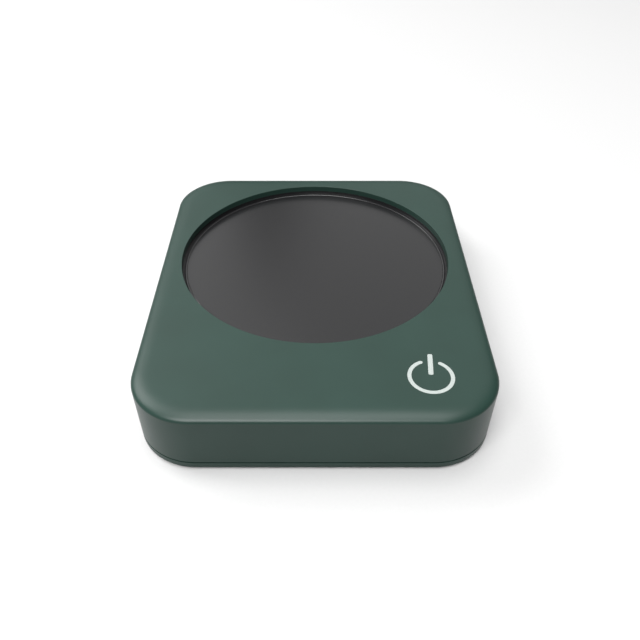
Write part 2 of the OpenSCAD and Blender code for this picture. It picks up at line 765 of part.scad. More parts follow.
// A saddle strap that holds the fuse up against the clamp plate
module fuse_clip() {
    strap_t = 0.5;
    strap_w = 4;
    foot_len = 3;
    inside_r = fuse_r + hold_gap;
    outside_r = inside_r + strap_t;
    color(steel_colour) translate([-strap_w / 2, fuse_y, 0]) rotate([90, 0, 90])
        linear_extrude(height = strap_w) difference() {
            union() {
                translate([0, fuse_z]) circle(r = outside_r);
                translate([-outside_r, fuse_z]) square([2 * outside_r, clamp_z - fuse_z]);
                translate([-outside_r - foot_len, clamp_z - strap_t])
                    square([2 * (outside_r + foot_len), strap_t]);
            }
            translate([0, fuse_z]) circle(r = inside_r);
            translate([-inside_r, fuse_z]) square([2 * inside_r, clamp_z - fuse_z + cut]);
            translate([-outside_r, clamp_z]) square([2 * outside_r, outside_r]);
        }
}

// ---------- Touch key ----------

// Points along an arc, in steps from one angle to another. skip leaves out that many at each end
function arc(centre, r, from, to, steps, skip = 0) = [
    for (i = [skip : steps - skip])
        let (a = from + (to - from) * i / steps)
        centre + r * [cos(a), sin(a)]
];

// The key's mark: a ring that is open at the back, and a bar through the opening. grow widens every stroke
module key_shape(grow = 0) {
    mid_r = key_r - key_stroke / 2;
    half = key_stroke / 2 + grow;
    first = 90 + key_opening;
    last = 450 - key_opening;
    tip_r = key_bar_w * 0.3;
    bar_mid = [0, key_bar_end - key_bar_len / 2];
    tip_x = key_bar_w / 2 + grow - tip_r;
    tip_y = key_bar_len / 2 + grow - tip_r;
    rotate(-key_turn) {
        // The ring's outline: along its outside, round one end, back along its inside and round the other
        polygon(concat(
            arc([0, 0], mid_r + half, first, last, 40),
            arc(mid_r * [cos(last), sin(last)], half, last, last + 180, 8, 1),
            arc([0, 0], mid_r - half, last, first, 40),
            arc(mid_r * [cos(first), sin(first)], half, first + 180, first + 360, 8, 1)
        ));
        polygon([
            for (a = [45 : 90 : 315])
                each arc(bar_mid + [sign(cos(a)) * tip_x, sign(sin(a)) * tip_y], tip_r, a - 45, a + 45, 4)
        ]);
    }
}

// The white light guide: a disc under the top wall, with the mark standing up through the wall to its face
module power_symbol() {
    color([0.93, 0.95, 0.94]) translate([key_x, key_y, 0]) {
        translate([0, 0, roof_z - eps]) linear_extrude(height = top_t + eps) key_shape();
        translate([0, 0, guide_z]) cylinder(r = key_r + guide_rim, h = guide_t);
        rotate(-key_turn) translate([-key_bar_w / 2 - guide_rim, 0, guide_z])
            cube([key_bar_w + 2 * guide_rim, key_bar_end + guide_rim, guide_t]);
    }
}

module light_box() {
    outside_r = key_r + guide_rim + light_box_t;
    box_h = guide_z - board_top_z - fit_gap;
    color(black_colour) translate([key_x, key_y, board_top_z]) difference() {
        cylinder(r = outside_r, h = box_h);
        translate([0, 0, -cut]) cylinder(r = outside_r - light_box_t, h = box_h + 2 * cut);
    }
}

// The touch spring stands between the board and the light guide, and its end turns lie flat
module touch_spring() {
    steps = 14;
    flat_turns = 0.8;
    rise = guide_z - board_top_z - 2 * coil_wire_r;
    coil = [
        for (i = [0 : coil_turns * steps])
            let (a = 360 * i / steps, share = (i / steps - flat_turns) / (coil_turns - 2 * flat_turns))
            [coil_r * cos(a), coil_r * sin(a), rise * max(0, min(1, share))]
    ];
    color(steel_colour) translate([key_x, key_y, board_top_z + coil_wire_r]) tube(coil, coil_wire_r, 6);
}

module key_led() {
    led = [3.5, 2.8, 1.4];
    lens_r = 1.1;
    lens_h = 0.6;
    color([0.95, 0.93, 0.85]) {
        block(key_x, key_y, board_top_z, led);
        translate([key_x, key_y, board_top_z + led.z - eps]) rotate_extrude() polygon([
            [0, 0], [lens_r, 0], [lens_r * 0.9, lens_h * 0.5], [lens_r * 0.6, lens_h * 0.85], [0, lens_h]
        ]);
    }
}

// ---------- Control board ----------

// A place on the board, x from its middle and y from its front edge
module on_board(x, y) {
    translate([x, board_front_y + y, board_top_z]) children();
}

// The board follows the cover's corners and its screw bosses
module control_board() {
    corner = 3;
    boss_clear = boss_r + 0.8;
    wall_clear = 0.6;
    color([0.1, 0.32, 0.16]) difference() {
        intersection() {
            translate([board_left, board_front_y, board_z]) cube([board_w, board_d, board_t]);
            union() {
                swept_rim() translate([0, board_z - eps]) square([lip_r - wall_clear, board_t + 2 * eps]);
                core_slab(board_z - eps, board_t + 2 * eps);
            }
        }
        in_corners(boss_run) translate([0, 0, board_z - cut]) cylinder(r = boss_clear, h = board_t + 2 * cut);
        for (side = [-1, 1]) translate([side * board_left, board_back_y, board_z - cut]) rotate(45)
            block(0, 0, 0, [corner, corner, board_t + 2 * cut]);
        for (at = board_screw_at) translate([at.x, board_front_y + at.y, board_z - cut])
            cylinder(r = screw_r + hole_slack, h = board_t + 2 * cut);
    }
}

module board_screws() {
    color(steel_colour) for (at = board_screw_at)
        on_board(at.x, at.y) mirror([0, 0, 1]) tapping_screw(board_t + post_h - 1);
}

// A row of gull-wing legs along one long side of a chip, from the body at y = 0 outwards
module chip_legs(count, pitch, leg, body_lift) {
    for (i = [0 : count - 1]) translate([(i - (count - 1) / 2) * pitch - leg.x / 2, 0, 0]) {
        cube(leg);
        cube([leg.x, leg.y * 0.4, body_lift]);
    }
}

module microcontroller() {
    body = [10, 3.9, 1.4];
    leg = [0.42, 1.1, 0.2];
    lift = 0.15;
    on_board(-6, 8.5) {
        color(black_colour) block(0, 0, lift, body);
        color(steel_colour) for (turn = [0, 180]) rotate(turn) translate([0, body.y / 2 - eps, 0])
            chip_legs(8, 1.27, leg, body.z / 2);
    }
}

// A power transistor lying flat, its tab soldered to the board
module power_transistor() {
    body = [6.5, 6.1, 2.3];
    tab = [5.4, 9.5, 0.5];
    leg = [0.8, 3, 0.5];
    on_board(-17, 8.5) {
        color(steel_colour) {
            block(0, 1.4, 0, tab);
            for (side = [-1, 1]) block(side * body.x * 0.35, -body.y / 2 - leg.y / 2 + eps, tab.z, leg);
        }
        color(black_colour) block(0, 0, tab.z - eps, [body.x, body.y, body.z - tab.z]);
    }
}

// An electrolytic can on its moulded foot, with a rolled groove near the bottom
module filter_capacitor() {
    foot_rad = 3.4;
    can_rad = 3.15;
    can_h = 7.4;
    roll = 0.25;
    color([0.15, 0.2, 0.35]) on_board(board_left + 13, 11.5) rotate_extrude() polygon([
        [0, 0], [foot_rad, 0], [foot_rad, 0.8], [can_rad, 1.2], [can_rad - roll, 1.6], [can_rad, 2],
        [can_rad, can_h - roll], [can_rad - roll, can_h], [can_rad * 0.75, can_h],
        [can_rad * 0.7, can_h - roll], [0, can_h - roll]
    ]);
}

module chip_resistors() {
    chip = [2, 1.25, 0.5];
    end_cap = 0.35;
    places = [
        [-7, 3.4], [-3.6, 3.4], [-0.2, 3.4], [3.4, 8.4], [3.4, 11.4], [-11.5, 14.2], [-1, 14.2], [9, 13]
    ];
    for (at = places) on_board(at.x, at.y) {
        color(black_colour) block(0, 0, 0, [chip.x - 2 * end_cap + eps, chip.y, chip.z]);
        color(steel_colour) for (side = [-1, 1])
            block(side * (chip.x - end_cap) / 2, 0, 0, [end_cap, chip.y, chip.z + 0.04]);
    }
}

// A side-entry header at the back edge of the board, open to the back, with two pins
module side_header(x) {
    pin_reach = 4.4;
    front = board_d - header_from_back - header_len;
    cavity = [header_w - 2 * header_wall, header_len, header_h - 2 * header_wall];
    on_board(x, front) {
        color(cream_colour) difference() {
            block(0, header_len / 2, 0, [header_w, header_len, header_h]);
            block(0, header_len / 2 + 2 * header_wall, header_wall, cavity);
        }
        color(steel_colour) for (side = [-1, 1])
            block(side * pin_pitch / 2, 2 * header_wall - eps + pin_reach / 2, header_h / 2 - header_pin / 2,
                [header_pin, pin_reach, header_pin]);
    }
}

// The crimp housing that plugs into a header, bored for its two pins
module crimp_plug(x) {
    color(cream_colour) translate([x, plug_back_y, plug_z]) difference() {
        block(0, -plug_len / 2, -plug_h / 2, [plug_w, plug_len, plug_h]);
        for (side = [-1, 1]) translate([side * pin_pitch / 2, -plug_len - cut, 0]) rotate([-90, 0, 0])
            cylinder(r = header_pin * 1.1, h = plug_in + cut);
    }
}

// ---------- Power socket ----------

module dc_socket() {
    nose_edge = 1;
    slot_depth = contact_drop + 0.1;
    slot_w = contact_w + 0.2;
    nose = 1.5;
    lead_in = 0.5;
    color(black_colour) difference() {
        translate([0, socket_face_y, 0]) rotate([90, 0, 0]) linear_extrude(height = socket_len) polygon([
            [-socket_w / 2, socket_z], [socket_w / 2, socket_z],
            [socket_w / 2, socket_z + socket_h - nose_edge], [socket_w / 2 - nose_edge, socket_z + socket_h],
            [nose_edge - socket_w / 2, socket_z + socket_h], [-socket_w / 2, socket_z + socket_h - nose_edge]
        ]);
        translate([0, bore_floor_y, bore_z]) rotate([-90, 0, 0])
            cylinder(r = socket_bore_r, h = socket_bore_depth + cut);
        translate([0, socket_face_y - lead_in, bore_z]) rotate([-90, 0, 0])
            cylinder(r1 = socket_bore_r, r2 = socket_bore_r + lead_in + eps, h = lead_in + eps);
        translate([0, socket_back_y - cut, bore_z]) rotate([-90, 0, 0])
            cylinder(r = collar_r + hold_gap, h = socket_len - socket_bore_depth + 2 * cut);
        translate([-slot_w / 2, socket_back_y - cut, bore_z - socket_bore_r - slot_depth])
            cube([slot_w, socket_len - nose + cut, slot_depth + 0.5]);
    }
}

// The centre pin: a collar through the socket's back wall, and the free pin with a chamfered tip in the bore
module socket_pin() {
    tip = 0.4;
    collar_len = bore_floor_y - tab_y;
    run = collar_len + pin_len;
    color(contact_colour) translate([0, tab_y, bore_z]) rotate([-90, 0, 0]) rotate_extrude() polygon([
        [0, 0], [collar_r, 0], [collar_r, collar_len], [pin_r, collar_len],
        [pin_r, run - tip], [pin_r - tip, run], [0, run]
    ]);
}

// The sprung outer contact: a strip along the slot under the bore, with a crest that touches the plug
module socket_contact() {
    crest_z = bore_z - socket_bore_r + 0.3;
    upper = [
        [tab_y, contact_z + contact_t], [bore_floor_y + 1.9, contact_z + contact_t],
        [bore_floor_y + 4.4, crest_z], [bore_floor_y + 5.4, crest_z],
        [bore_floor_y + 7, contact_z + 2 * contact_t]
    ];
    lower = [for (i = [len(upper) - 1 : -1 : 0]) upper[i] - [0, contact_t]];
    color(contact_colour) translate([-contact_w / 2, 0, 0]) rotate([90, 0, 90])
        linear_extrude(height = contact_w) polygon(concat(upper, lower));
}

// ---------- Wires inside the housing ----------

// One of the two crimps of the plug at x, on its back face: side is -1 or 1
function crimp_at(x, side) = [x + side * pin_pitch / 2, plug_back_y, plug_z];

module supply_wires() {
    color([0.75, 0.1, 0.1])
        wire([0, tab_y, bore_z], [0, -1, 0], plus_route, crimp_at(supply_x, 1), [0, 1, 0], supply_wire_r);
    color(black_colour) wire([0, tab_y, contact_z + contact_t], [0, -1, 0], minus_route,
        crimp_at(supply_x, -1), [0, 1, 0], supply_wire_r);
}

module heater_wires() {
    lead_x = fuse_len / 2 + fuse_lead;
    color([0.85, 0.85, 0.85]) {
        wire(crimp_at(heater_x, 1), [0, 1, 0], element_route, [-5.3, solder_y, track_z], [0, 0, -1],
            heater_wire_r);
        wire(crimp_at(heater_x, -1), [0, 1, 0], fuse_in_route, [-lead_x, fuse_y, fuse_z], [-1, 0, 0],
            heater_wire_r);
        wire([lead_x, fuse_y, fuse_z], [1, 0, 0], fuse_out_route, [0, solder_y, track_z], [0, 0, -1],
            heater_wire_r);
    }
}

module sensor_wires() {
    color([0.15, 0.15, 0.18]) for (side = [-1, 1])
        wire([side * 0.8, well_y - thermistor_r, clamp_z + 1.2], [0, -1, 0], sensor_routes[(side + 1) / 2],
            crimp_at(sensor_x, side), [0, 1, 0], sensor_wire_r);
}

top_cover();
base_cover();
power_symbol();
warming_plate();
plate_ring();
ring_gasket();
plate_bond();
heat_spreader();
heater_film();
heater_track();
insulation_pad();
heater_clamp();
clamp_screws();
ring_screws();
thermistor();
thermistor_clip();
thermal_fuse();
fuse_clip();
control_board();
microcontroller();
power_transistor();
filter_capacitor();
chip_resistors();
key_led();
light_box();
touch_spring();
side_header(supply_x);  // supply_header
side_header(heater_x);  // heater_header
side_header(sensor_x);  // sensor_header
crimp_plug(supply_x);  // supply_plug
crimp_plug(heater_x);  // heater_plug
crimp_plug(sensor_x);  // sensor_plug
dc_socket();
socket_pin();
socket_contact();
cover_screws();
board_screws();
rubber_foot(-1, -1);  // foot_front_left
rubber_foot(1, -1);  // foot_front_right
rubber_foot(-1, 1);  // foot_back_left
rubber_foot(1, 1);  // foot_back_right
supply_wires();
heater_wires();
sensor_wires();
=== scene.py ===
import math

import bmesh
import bpy
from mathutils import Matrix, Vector


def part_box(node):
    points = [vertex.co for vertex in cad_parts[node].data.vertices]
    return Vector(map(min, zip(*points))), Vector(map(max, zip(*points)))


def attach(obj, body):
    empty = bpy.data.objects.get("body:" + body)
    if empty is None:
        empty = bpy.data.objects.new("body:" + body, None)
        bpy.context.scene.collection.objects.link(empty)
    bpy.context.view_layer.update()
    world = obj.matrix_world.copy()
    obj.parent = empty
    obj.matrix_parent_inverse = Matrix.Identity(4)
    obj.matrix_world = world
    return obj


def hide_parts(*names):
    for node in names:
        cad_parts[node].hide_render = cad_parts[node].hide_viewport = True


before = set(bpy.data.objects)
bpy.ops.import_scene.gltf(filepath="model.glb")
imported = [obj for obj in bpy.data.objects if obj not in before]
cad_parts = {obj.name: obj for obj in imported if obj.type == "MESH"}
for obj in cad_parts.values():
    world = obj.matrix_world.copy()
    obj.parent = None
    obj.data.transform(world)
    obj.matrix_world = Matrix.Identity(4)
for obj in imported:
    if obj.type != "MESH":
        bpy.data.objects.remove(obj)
bpy.context.view_layer.update()


# ---------- Camera ----------
# A 38 mm lens a forearm's length from the warmer, looking down at its front edge. The small shift puts the
# warmer a little left of the middle.
camera_data = bpy.data.cameras.new("camera")
camera_data.lens = 38.08
camera_data.shift_x = 5 / 640
camera = bpy.data.objects.new("camera", camera_data)
camera.location = (0, -0.19097, 0.16648)
camera.rotation_euler = (math.radians(90 - 40.91), 0, 0)
bpy.context.scene.collection.objects.link(camera)
bpy.context.scene.camera = camera


# ---------- Studio ----------
# The warmer stands on a pale matt board, lit so brightly that only its own soft shadow shows. An even light comes
# from overhead, and soft panels stand in front, on the left and behind. The far ones shine in the glass.
def linear(colour):
    """The linear values of an sRGB hex colour, with alpha 1."""
    parts = [int(colour[i:i + 2], 16) / 255 for i in (1, 3, 5)]
    return [p / 12.92 if p <= 0.04045 else ((p + 0.055) / 1.055) ** 2.4 for p in parts] + [1.0]


def new_material(name):
    """A material with no nodes yet."""
    material = bpy.data.materials.new(name)
    material.use_nodes = True
    material.node_tree.nodes.clear()
    return material


def add(material, kind, settings=(), links=()):
    """Adds a node. Its properties or sockets are set by name, and its sockets are joined to other outputs."""
    node = material.node_tree.nodes.new(kind)
    for name, value in dict(settings).items():
        if isinstance(name, str) and hasattr(node, name):
            setattr(node, name, value)
        else:
            node.inputs[name].default_value = value
    for name, output in dict(links).items():
        material.node_tree.links.new(output, node.inputs[name])
    return node


pale_matt_board = new_material("pale_matt_board")
board_place = add(pale_matt_board, "ShaderNodeTexCoord")
board_fibre = add(pale_matt_board, "ShaderNodeTexNoise", {"Scale": 900.0, "Detail": 2.0},
                  {"Vector": board_place.outputs["Object"]})
board_tone = add(pale_matt_board, "ShaderNodeMapRange", {"To Min": 0.45, "To Max": 0.47},
                 {"Value": board_fibre.outputs["Fac"]})
board_shader = add(pale_matt_board, "ShaderNodeBsdfPrincipled", {"Roughness": 0.9, "Specular IOR Level": 0.1},
                   {"Base Color": board_tone.outputs["Result"]})
add(pale_matt_board, "ShaderNodeOutputMaterial", links={"Surface": board_shader.outputs["BSDF"]})

bpy.ops.object.select_all(action="DESELECT")
bpy.ops.mesh.primitive_plane_add(size=1.8)
floor = bpy.context.object
floor.name = "floor"
floor.data.materials.append(pale_matt_board)

# The room glows above the horizon only, but is white all round to the camera
world = bpy.data.worlds.new("studio")
bpy.context.scene.world = world
world.use_nodes = True
world.node_tree.nodes.clear()
room = add(world, "ShaderNodeTexCoord")
height = add(world, "ShaderNodeSeparateXYZ", links={"Vector": room.outputs["Generated"]})
ceiling = add(world, "ShaderNodeMapRange", {"To Min": 0.0, "To Max": 0.08}, {"Value": height.outputs["Z"]})
path = add(world, "ShaderNodeLightPath")
seen = add(world, "ShaderNodeMath", {"operation": "MAXIMUM"},
           {0: ceiling.outputs["Result"], 1: path.outputs["Is Camera Ray"]})
glow = add(world, "ShaderNodeBackground", {"Color": (1, 1, 1, 1)}, {"Strength": seen.outputs["Value"]})
add(world, "ShaderNodeOutputWorld", links={"Surface": glow.outputs["Background"]})
bpy.context.scene.view_settings.view_transform = "Standard"

overhead_light = bpy.data.lights.new("overhead", "SUN")
overhead_light.energy, overhead_light.angle = 2.5, math.radians(40)
overhead = bpy.data.objects.new("overhead", overhead_light)
overhead.rotation_euler = (math.radians(-2), 0, 0)
bpy.context.scene.collection.objects.link(overhead)

# Each panel faces the warmer: its name, place, size and watts
for name, place, size, watts in (
        ("front_panel", (-0.25, -0.7, 1.07), (0.9, 0.4), 21),
        ("back_left", (-0.9, 0.45, 0.9), (0.7, 0.7), 13),
        ("backdrop_left", (-0.75, 1.35, 1.15), (1.2, 1.4), 7),
        ("backdrop_right", (0.55, 1.4, 1.15), (1.4, 1.4), 5.5)):
    light = bpy.data.lights.new(name, "AREA")
    light.shape, light.energy = "RECTANGLE", watts
    light.size, light.size_y = size
    panel = bpy.data.objects.new(name, light)
    panel.location = place
    panel.rotation_euler = (-Vector(place)).to_track_quat("-Z", "Y").to_euler()
    bpy.context.scene.collection.objects.link(panel)


# ---------- Top cover ----------
# The upper half of the housing is one ABS moulding: drafted walls, a rounded shoulder and a flat top with a
# round mouth. Eight bosses under its roof take the screws of the base and of the plate ring.
mm = 0.001
cover_low, cover_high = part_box("top_cover")
plate_low, plate_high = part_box("warming_plate")
inlet_low, inlet_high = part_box("dc_socket")
body_w, body_d = 2 * cover_high.x, 2 * cover_high.y
top_z, seam_z, under_z = cover_high.z, cover_low.z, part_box("base_cover")[0].z
corner_r, corner_steps = 19.5 * mm, 32
core_x, core_y = body_w / 2 - corner_r, body_d / 2 - corner_r
shoulder_in, shoulder_drop, shoulder_steps = 5.5 * mm, 2.1 * mm, 20
shoulder_z = top_z - shoulder_drop
draft, rim_edge, land_w = 0.3 * mm, 0.12 * mm, 1.5 * mm
wall, roof_z, roof_edge = 2.2 * mm, top_z - 2 * mm, 0.8 * mm
plate_r, well_y, well_sides = plate_high.x, (plate_low.y + plate_high.y) / 2, 256
well_at = (0, well_y)
mouth_r, mouth_edge, mouth_draft = plate_r + 0.95 * mm, 0.12 * mm, 0.12 * mm
boss_r, boss_z = 3.2 * mm, seam_z + 2.1 * mm
pilot_r, pilot_deep = 1.3 * mm, 8 * mm
rib_t, rib_from, gusset = 1.2 * mm, boss_r - 0.6 * mm, 4 * mm
ear_run, ear_seat_z, ear_pilot_z = mouth_r + 6.8 * mm, plate_low.z + 0.9 * mm, roof_z - 1 * mm
# A moulding starts as a thin slab, a part that is fused on sinks into the next, and a tool cuts past a face
starter, sink, past = 0.5 * mm, 0.5 * mm, 1 * mm


def take(*pieces):
    """Selects just some pieces, and makes the first of them active."""
    bpy.ops.object.select_all(action="DESELECT")
    for piece in pieces:
        piece.select_set(True)
    bpy.context.view_layer.objects.active = pieces[0]


def begin(name, primitive, by_edges=False, **settings):
    """Adds a primitive with nothing else selected, and goes into edit mode to work on its faces or its edges."""
    bpy.ops.object.select_all(action="DESELECT")
    bpy.context.tool_settings.mesh_select_mode = (False, by_edges, not by_edges)
    primitive(enter_editmode=True, **settings)
    bpy.context.object.name = name


def close_up():
    """Ends the modelling of a piece: doubles are merged and every face is turned outwards."""
    bpy.ops.mesh.select_all(action="SELECT")
    bpy.ops.mesh.remove_doubles(threshold=0.001 * mm)
    bpy.ops.mesh.normals_make_consistent(inside=False)
    bpy.ops.object.mode_set(mode="OBJECT")
    return bpy.context.object


def rounded_slab(name, size, radius, low, high):
    """Starts a moulding as a slab with rounded corners, its top face selected."""
    begin(name, bpy.ops.mesh.primitive_plane_add, size=1)
    bpy.ops.transform.resize(value=(size[0], size[1], 1))
    bpy.ops.transform.translate(value=(0, 0, low))
    bpy.ops.mesh.bevel(offset=radius, segments=corner_steps, affect="VERTICES")
    bpy.ops.mesh.extrude_region_move(TRANSFORM_OT_translate={"value": (0, 0, high - low)})


def step(inward, along):
    """Makes the next ring of a moulding's section: the selected face is inset, and moved along its normal."""
    bpy.ops.mesh.inset(thickness=inward, depth=along)


def round_off(inward, rise, steps):
    """Makes the next rings of a moulding's section: a quarter of an ellipse."""
    last_in, last_rise = 0.0, 0.0
    for k in range(1, steps + 1):
        tilt = math.radians(90 * k / steps)
        along = math.atan2(rise * math.sin(tilt), inward * math.cos(tilt))
        next_in, next_rise = inward * (1 - math.cos(along)), rise * math.sin(along)
        step(next_in - last_in, next_rise - last_rise)
        last_in, last_rise = next_in, next_rise


def pick_underside():
    """Selects just the face that looks down."""
    bpy.ops.mesh.select_all(action="DESELECT")
    mesh = bmesh.from_edit_mesh(bpy.context.object.data)
    for face in mesh.faces:
        if face.normal.z < -0.9:
            face.select_set(True)
    bmesh.update_edit_mesh(bpy.context.object.data)


def turned(name, outline, at=(0, 0), sides=48, closed=False):
    """A turned piece that stands at a place in plan. Its outline is a list of radii and heights. A closed outline
    makes a ring that is open in the middle."""
    begin(name, bpy.ops.mesh.primitive_circle_add, by_edges=closed, vertices=sides, radius=outline[0][0],
          fill_type="NOTHING" if closed else "NGON")
    bpy.ops.transform.translate(value=(at[0], at[1], outline[0][1]))
    for (radius, z), (next_radius, next_z) in zip(outline, outline[1:] + outline[:closed]):
        bpy.ops.mesh.extrude_region_move(TRANSFORM_OT_translate={"value": (0, 0, next_z - z)})
        share = next_radius / radius
        bpy.ops.transform.resize(value=(share, share, 1), center_override=(at[0], at[1], next_z))
    return close_up()


def swing(turn, axis="Z"):
    """Turns what is selected about an axis through the origin."""
    bpy.ops.transform.rotate(value=-turn, orient_axis=axis, center_override=(0, 0, 0))


def brick(name, low, high, edge=0.0, turn=0.0):
    """A bar with its upright edges rounded, from its lowest to its highest corner, turned in plan about +Z."""
    begin(name, bpy.ops.mesh.primitive_cube_add, by_edges=True, size=1)
    bpy.ops.transform.resize(value=[b - a for a, b in zip(low, high)])
    bpy.ops.transform.translate(value=[(a + b) / 2 for a, b in zip(low, high)])
    if edge:
        mesh = bmesh.from_edit_mesh(bpy.context.object.data)
        bpy.ops.mesh.select_all(action="DESELECT")
        for line in mesh.edges:
            line.select_set(abs(line.verts[0].co.z - line.verts[1].co.z) > 1e-6)
        bpy.ops.mesh.bevel(offset=edge, segments=4)
    bpy.ops.mesh.select_all(action="SELECT")
    swing(turn)
    return close_up()


def shift(piece, place=(0, 0, 0), turn=0.0, axis="Z"):
    """Turns a piece's mesh about an axis through the origin and then moves it, while its object stays put."""
    take(piece)
    bpy.ops.object.mode_set(mode="EDIT")
    bpy.ops.mesh.select_all(action="SELECT")
    swing(turn, axis)
    bpy.ops.transform.translate(value=place)
    bpy.ops.object.mode_set(mode="OBJECT")
    return piece


def apply(piece, kind, **settings):
    """Puts a modifier on a piece and applies it."""
    modifier = piece.modifiers.new(kind.lower(), kind)
    for name, value in settings.items():
        setattr(modifier, name, value)
    take(piece)
    bpy.ops.object.modifier_apply(modifier=modifier.name)


def combine(piece, operation, *tools):
    """Cuts tools out of a piece, or fuses them with it, one after another, and throws them away."""
    for tool in tools:
        apply(piece, "BOOLEAN", operation=operation, solver="MANIFOLD", object=tool)
        bpy.data.objects.remove(tool)


def shade(piece, angle=30):
    """Shades a piece smooth up to an angle. Large flat faces keep their own normals, so that they stay flat."""
    take(piece)
    bpy.ops.object.shade_smooth_by_angle(angle=math.radians(angle))
    apply(piece, "WEIGHTED_NORMAL", keep_sharp=True, weight=100)


def finished(piece, material, slot, *nodes):
    """Gives a piece its material and its place in the frame."""
    piece.data.materials.clear()
    piece.data.materials.append(material)
    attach(piece, "root")
    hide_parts(*nodes)


def surface(name, colours, look, clouds=(), spread=(0.0, 1.0), grain=(), fineness=0.5, shine=(), relief=()):
    """A material of one colour, or of two that mix in clouds of a size and a detail. A grain of a size and a
    detail, or of three sizes along the axes, varies the roughness, and may give relief of a strength and depth."""
    material, look, links = new_material(name), dict(look), {}
    place = add(material, "ShaderNodeTexCoord").outputs["Object"]
    if clouds:
        noise = add(material, "ShaderNodeTexNoise", {"Scale": 1 / clouds[0], "Detail": clouds[1]}, {"Vector": place})
        tone = add(material, "ShaderNodeValToRGB", links={"Fac": noise.outputs["Fac"]})
        for stop, position, colour in zip(tone.color_ramp.elements, spread, colours):
            stop.position, stop.color = position, linear(colour)
        links["Base Color"] = tone.outputs["Color"]
    else:
        look["Base Color"] = linear(colours)
    if grain:
        *sizes, detail = grain
        scale = 1 / sizes[0]
        if len(sizes) > 1:
            stretch = add(material, "ShaderNodeMapping", {"Scale": [1 / size for size in sizes]}, {"Vector": place})
            place, scale = stretch.outputs["Vector"], 1.0
        noise = add(material, "ShaderNodeTexNoise", {"Scale": scale, "Detail": detail, "Roughness": fineness},
                    {"Vector": place})
        rough = add(material, "ShaderNodeMapRange", {"To Min": shine[0], "To Max": shine[1]},
                    {"Value": noise.outputs["Fac"]})
        links["Roughness"] = rough.outputs["Result"]
        if relief:
            bump = add(material, "ShaderNodeBump", {"Strength": relief[0], "Distance": relief[1]},
                       {"Height": noise.outputs["Fac"]})
            links["Normal"] = bump.outputs["Normal"]
    shader = add(material, "ShaderNodeBsdfPrincipled", look, links)
    add(material, "ShaderNodeOutputMaterial", links={"Surface": shader.outputs["BSDF"]})
    return material


def leaning(z):
    """How far the housing's side leans in at a height below the shoulder."""
    return draft * (shoulder_z - z) / (shoulder_z - under_z)


def around(turn, run, middle=(0, 0)):
    """The place in plan at a distance from a middle, in the direction of a turn."""
    return (middle[0] + run * math.cos(turn), middle[1] + run * math.sin(turn))


lip_r = corner_r - leaning(seam_z) - wall - 0.15 * mm
boss_run = lip_r - boss_r - 0.3 * mm
corners = [(sx, sy, math.atan2(sy, sx)) for sx, sy in ((1, 1), (-1, 1), (-1, -1), (1, -1))]
boss_at = [around(turn, boss_run, (sx * core_x, sy * core_y)) for sx, sy, turn in corners]

rounded_slab("upper_shell", (body_w, body_d), corner_r, shoulder_z - starter, shoulder_z)
round_off(shoulder_in, shoulder_drop, shoulder_steps)
step(land_w, 0)
pick_underside()
step(leaning(seam_z + rim_edge), shoulder_z - starter - seam_z - rim_edge)
step(rim_edge, rim_edge)
step(wall - rim_edge, 0)
step(0, seam_z + roof_edge - roof_z)
step(roof_edge, -roof_edge)
shell = close_up()

for (sx, sy, turn), at in zip(corners, boss_at):
    combine(shell, "UNION", turned("boss", [
        (pilot_r, boss_z + pilot_deep), (pilot_r, boss_z), (boss_r, boss_z), (boss_r, roof_z + sink)], at))
    web = brick("web", (boss_run + rib_from, -rib_t / 2, boss_z), (corner_r - wall + sink, rib_t / 2, roof_z + sink),
                turn=turn)
    combine(shell, "UNION", shift(web, (sx * core_x, sy * core_y, 0)))
    for side in (-1, 1):
        brace = brick("gusset", (rib_from, -rib_t / 2, roof_z - gusset),
                      (rib_from + gusset, rib_t / 2, roof_z + sink), turn=turn + side * math.pi / 2)
        combine(shell, "UNION", shift(brace, (*at, 0)))
    combine(shell, "UNION", turned("ear_boss", [
        (pilot_r, ear_pilot_z), (pilot_r, ear_seat_z), (boss_r, ear_seat_z), (boss_r, roof_z + sink)
    ], around(turn, ear_run, well_at)))

rim_r = mouth_r + mouth_draft
rounding = [(rim_r + mouth_edge * (1 - math.cos(a)), top_z - mouth_edge * (1 - math.sin(a)))
            for a in map(math.radians, range(0, 91, 30))]
combine(shell, "DIFFERENCE", turned("mouth", [
    (mouth_r, roof_z - past), (mouth_r, roof_z), *rounding, (rim_r + mouth_edge, top_z + past)], well_at, well_sides))

# The key's mark is cut through the top wall, and the inlet's notch out of the back wall
key_at, key_turn = (body_w / 2 - 20.7 * mm, 16.7 * mm - body_d / 2), math.radians(-4.8)
stroke, mark_r, opening, ring_steps = 1.2 * mm, 6.4 * mm, 27, 96
bar_w, bar_low, bar_high, bar_edge = 1.5 * mm, 0.7 * mm, 9.5 * mm, 0.45 * mm
hairline, inlet_gap, notch_deep = 0.05 * mm, 0.15 * mm, 5 * mm
notch_side = inlet_high.x + inlet_gap


def turn_about_key(piece):
    """Turns a part of the key's mark clockwise about the key's centre, and moves it there."""
    return shift(piece, (*key_at, 0), key_turn)


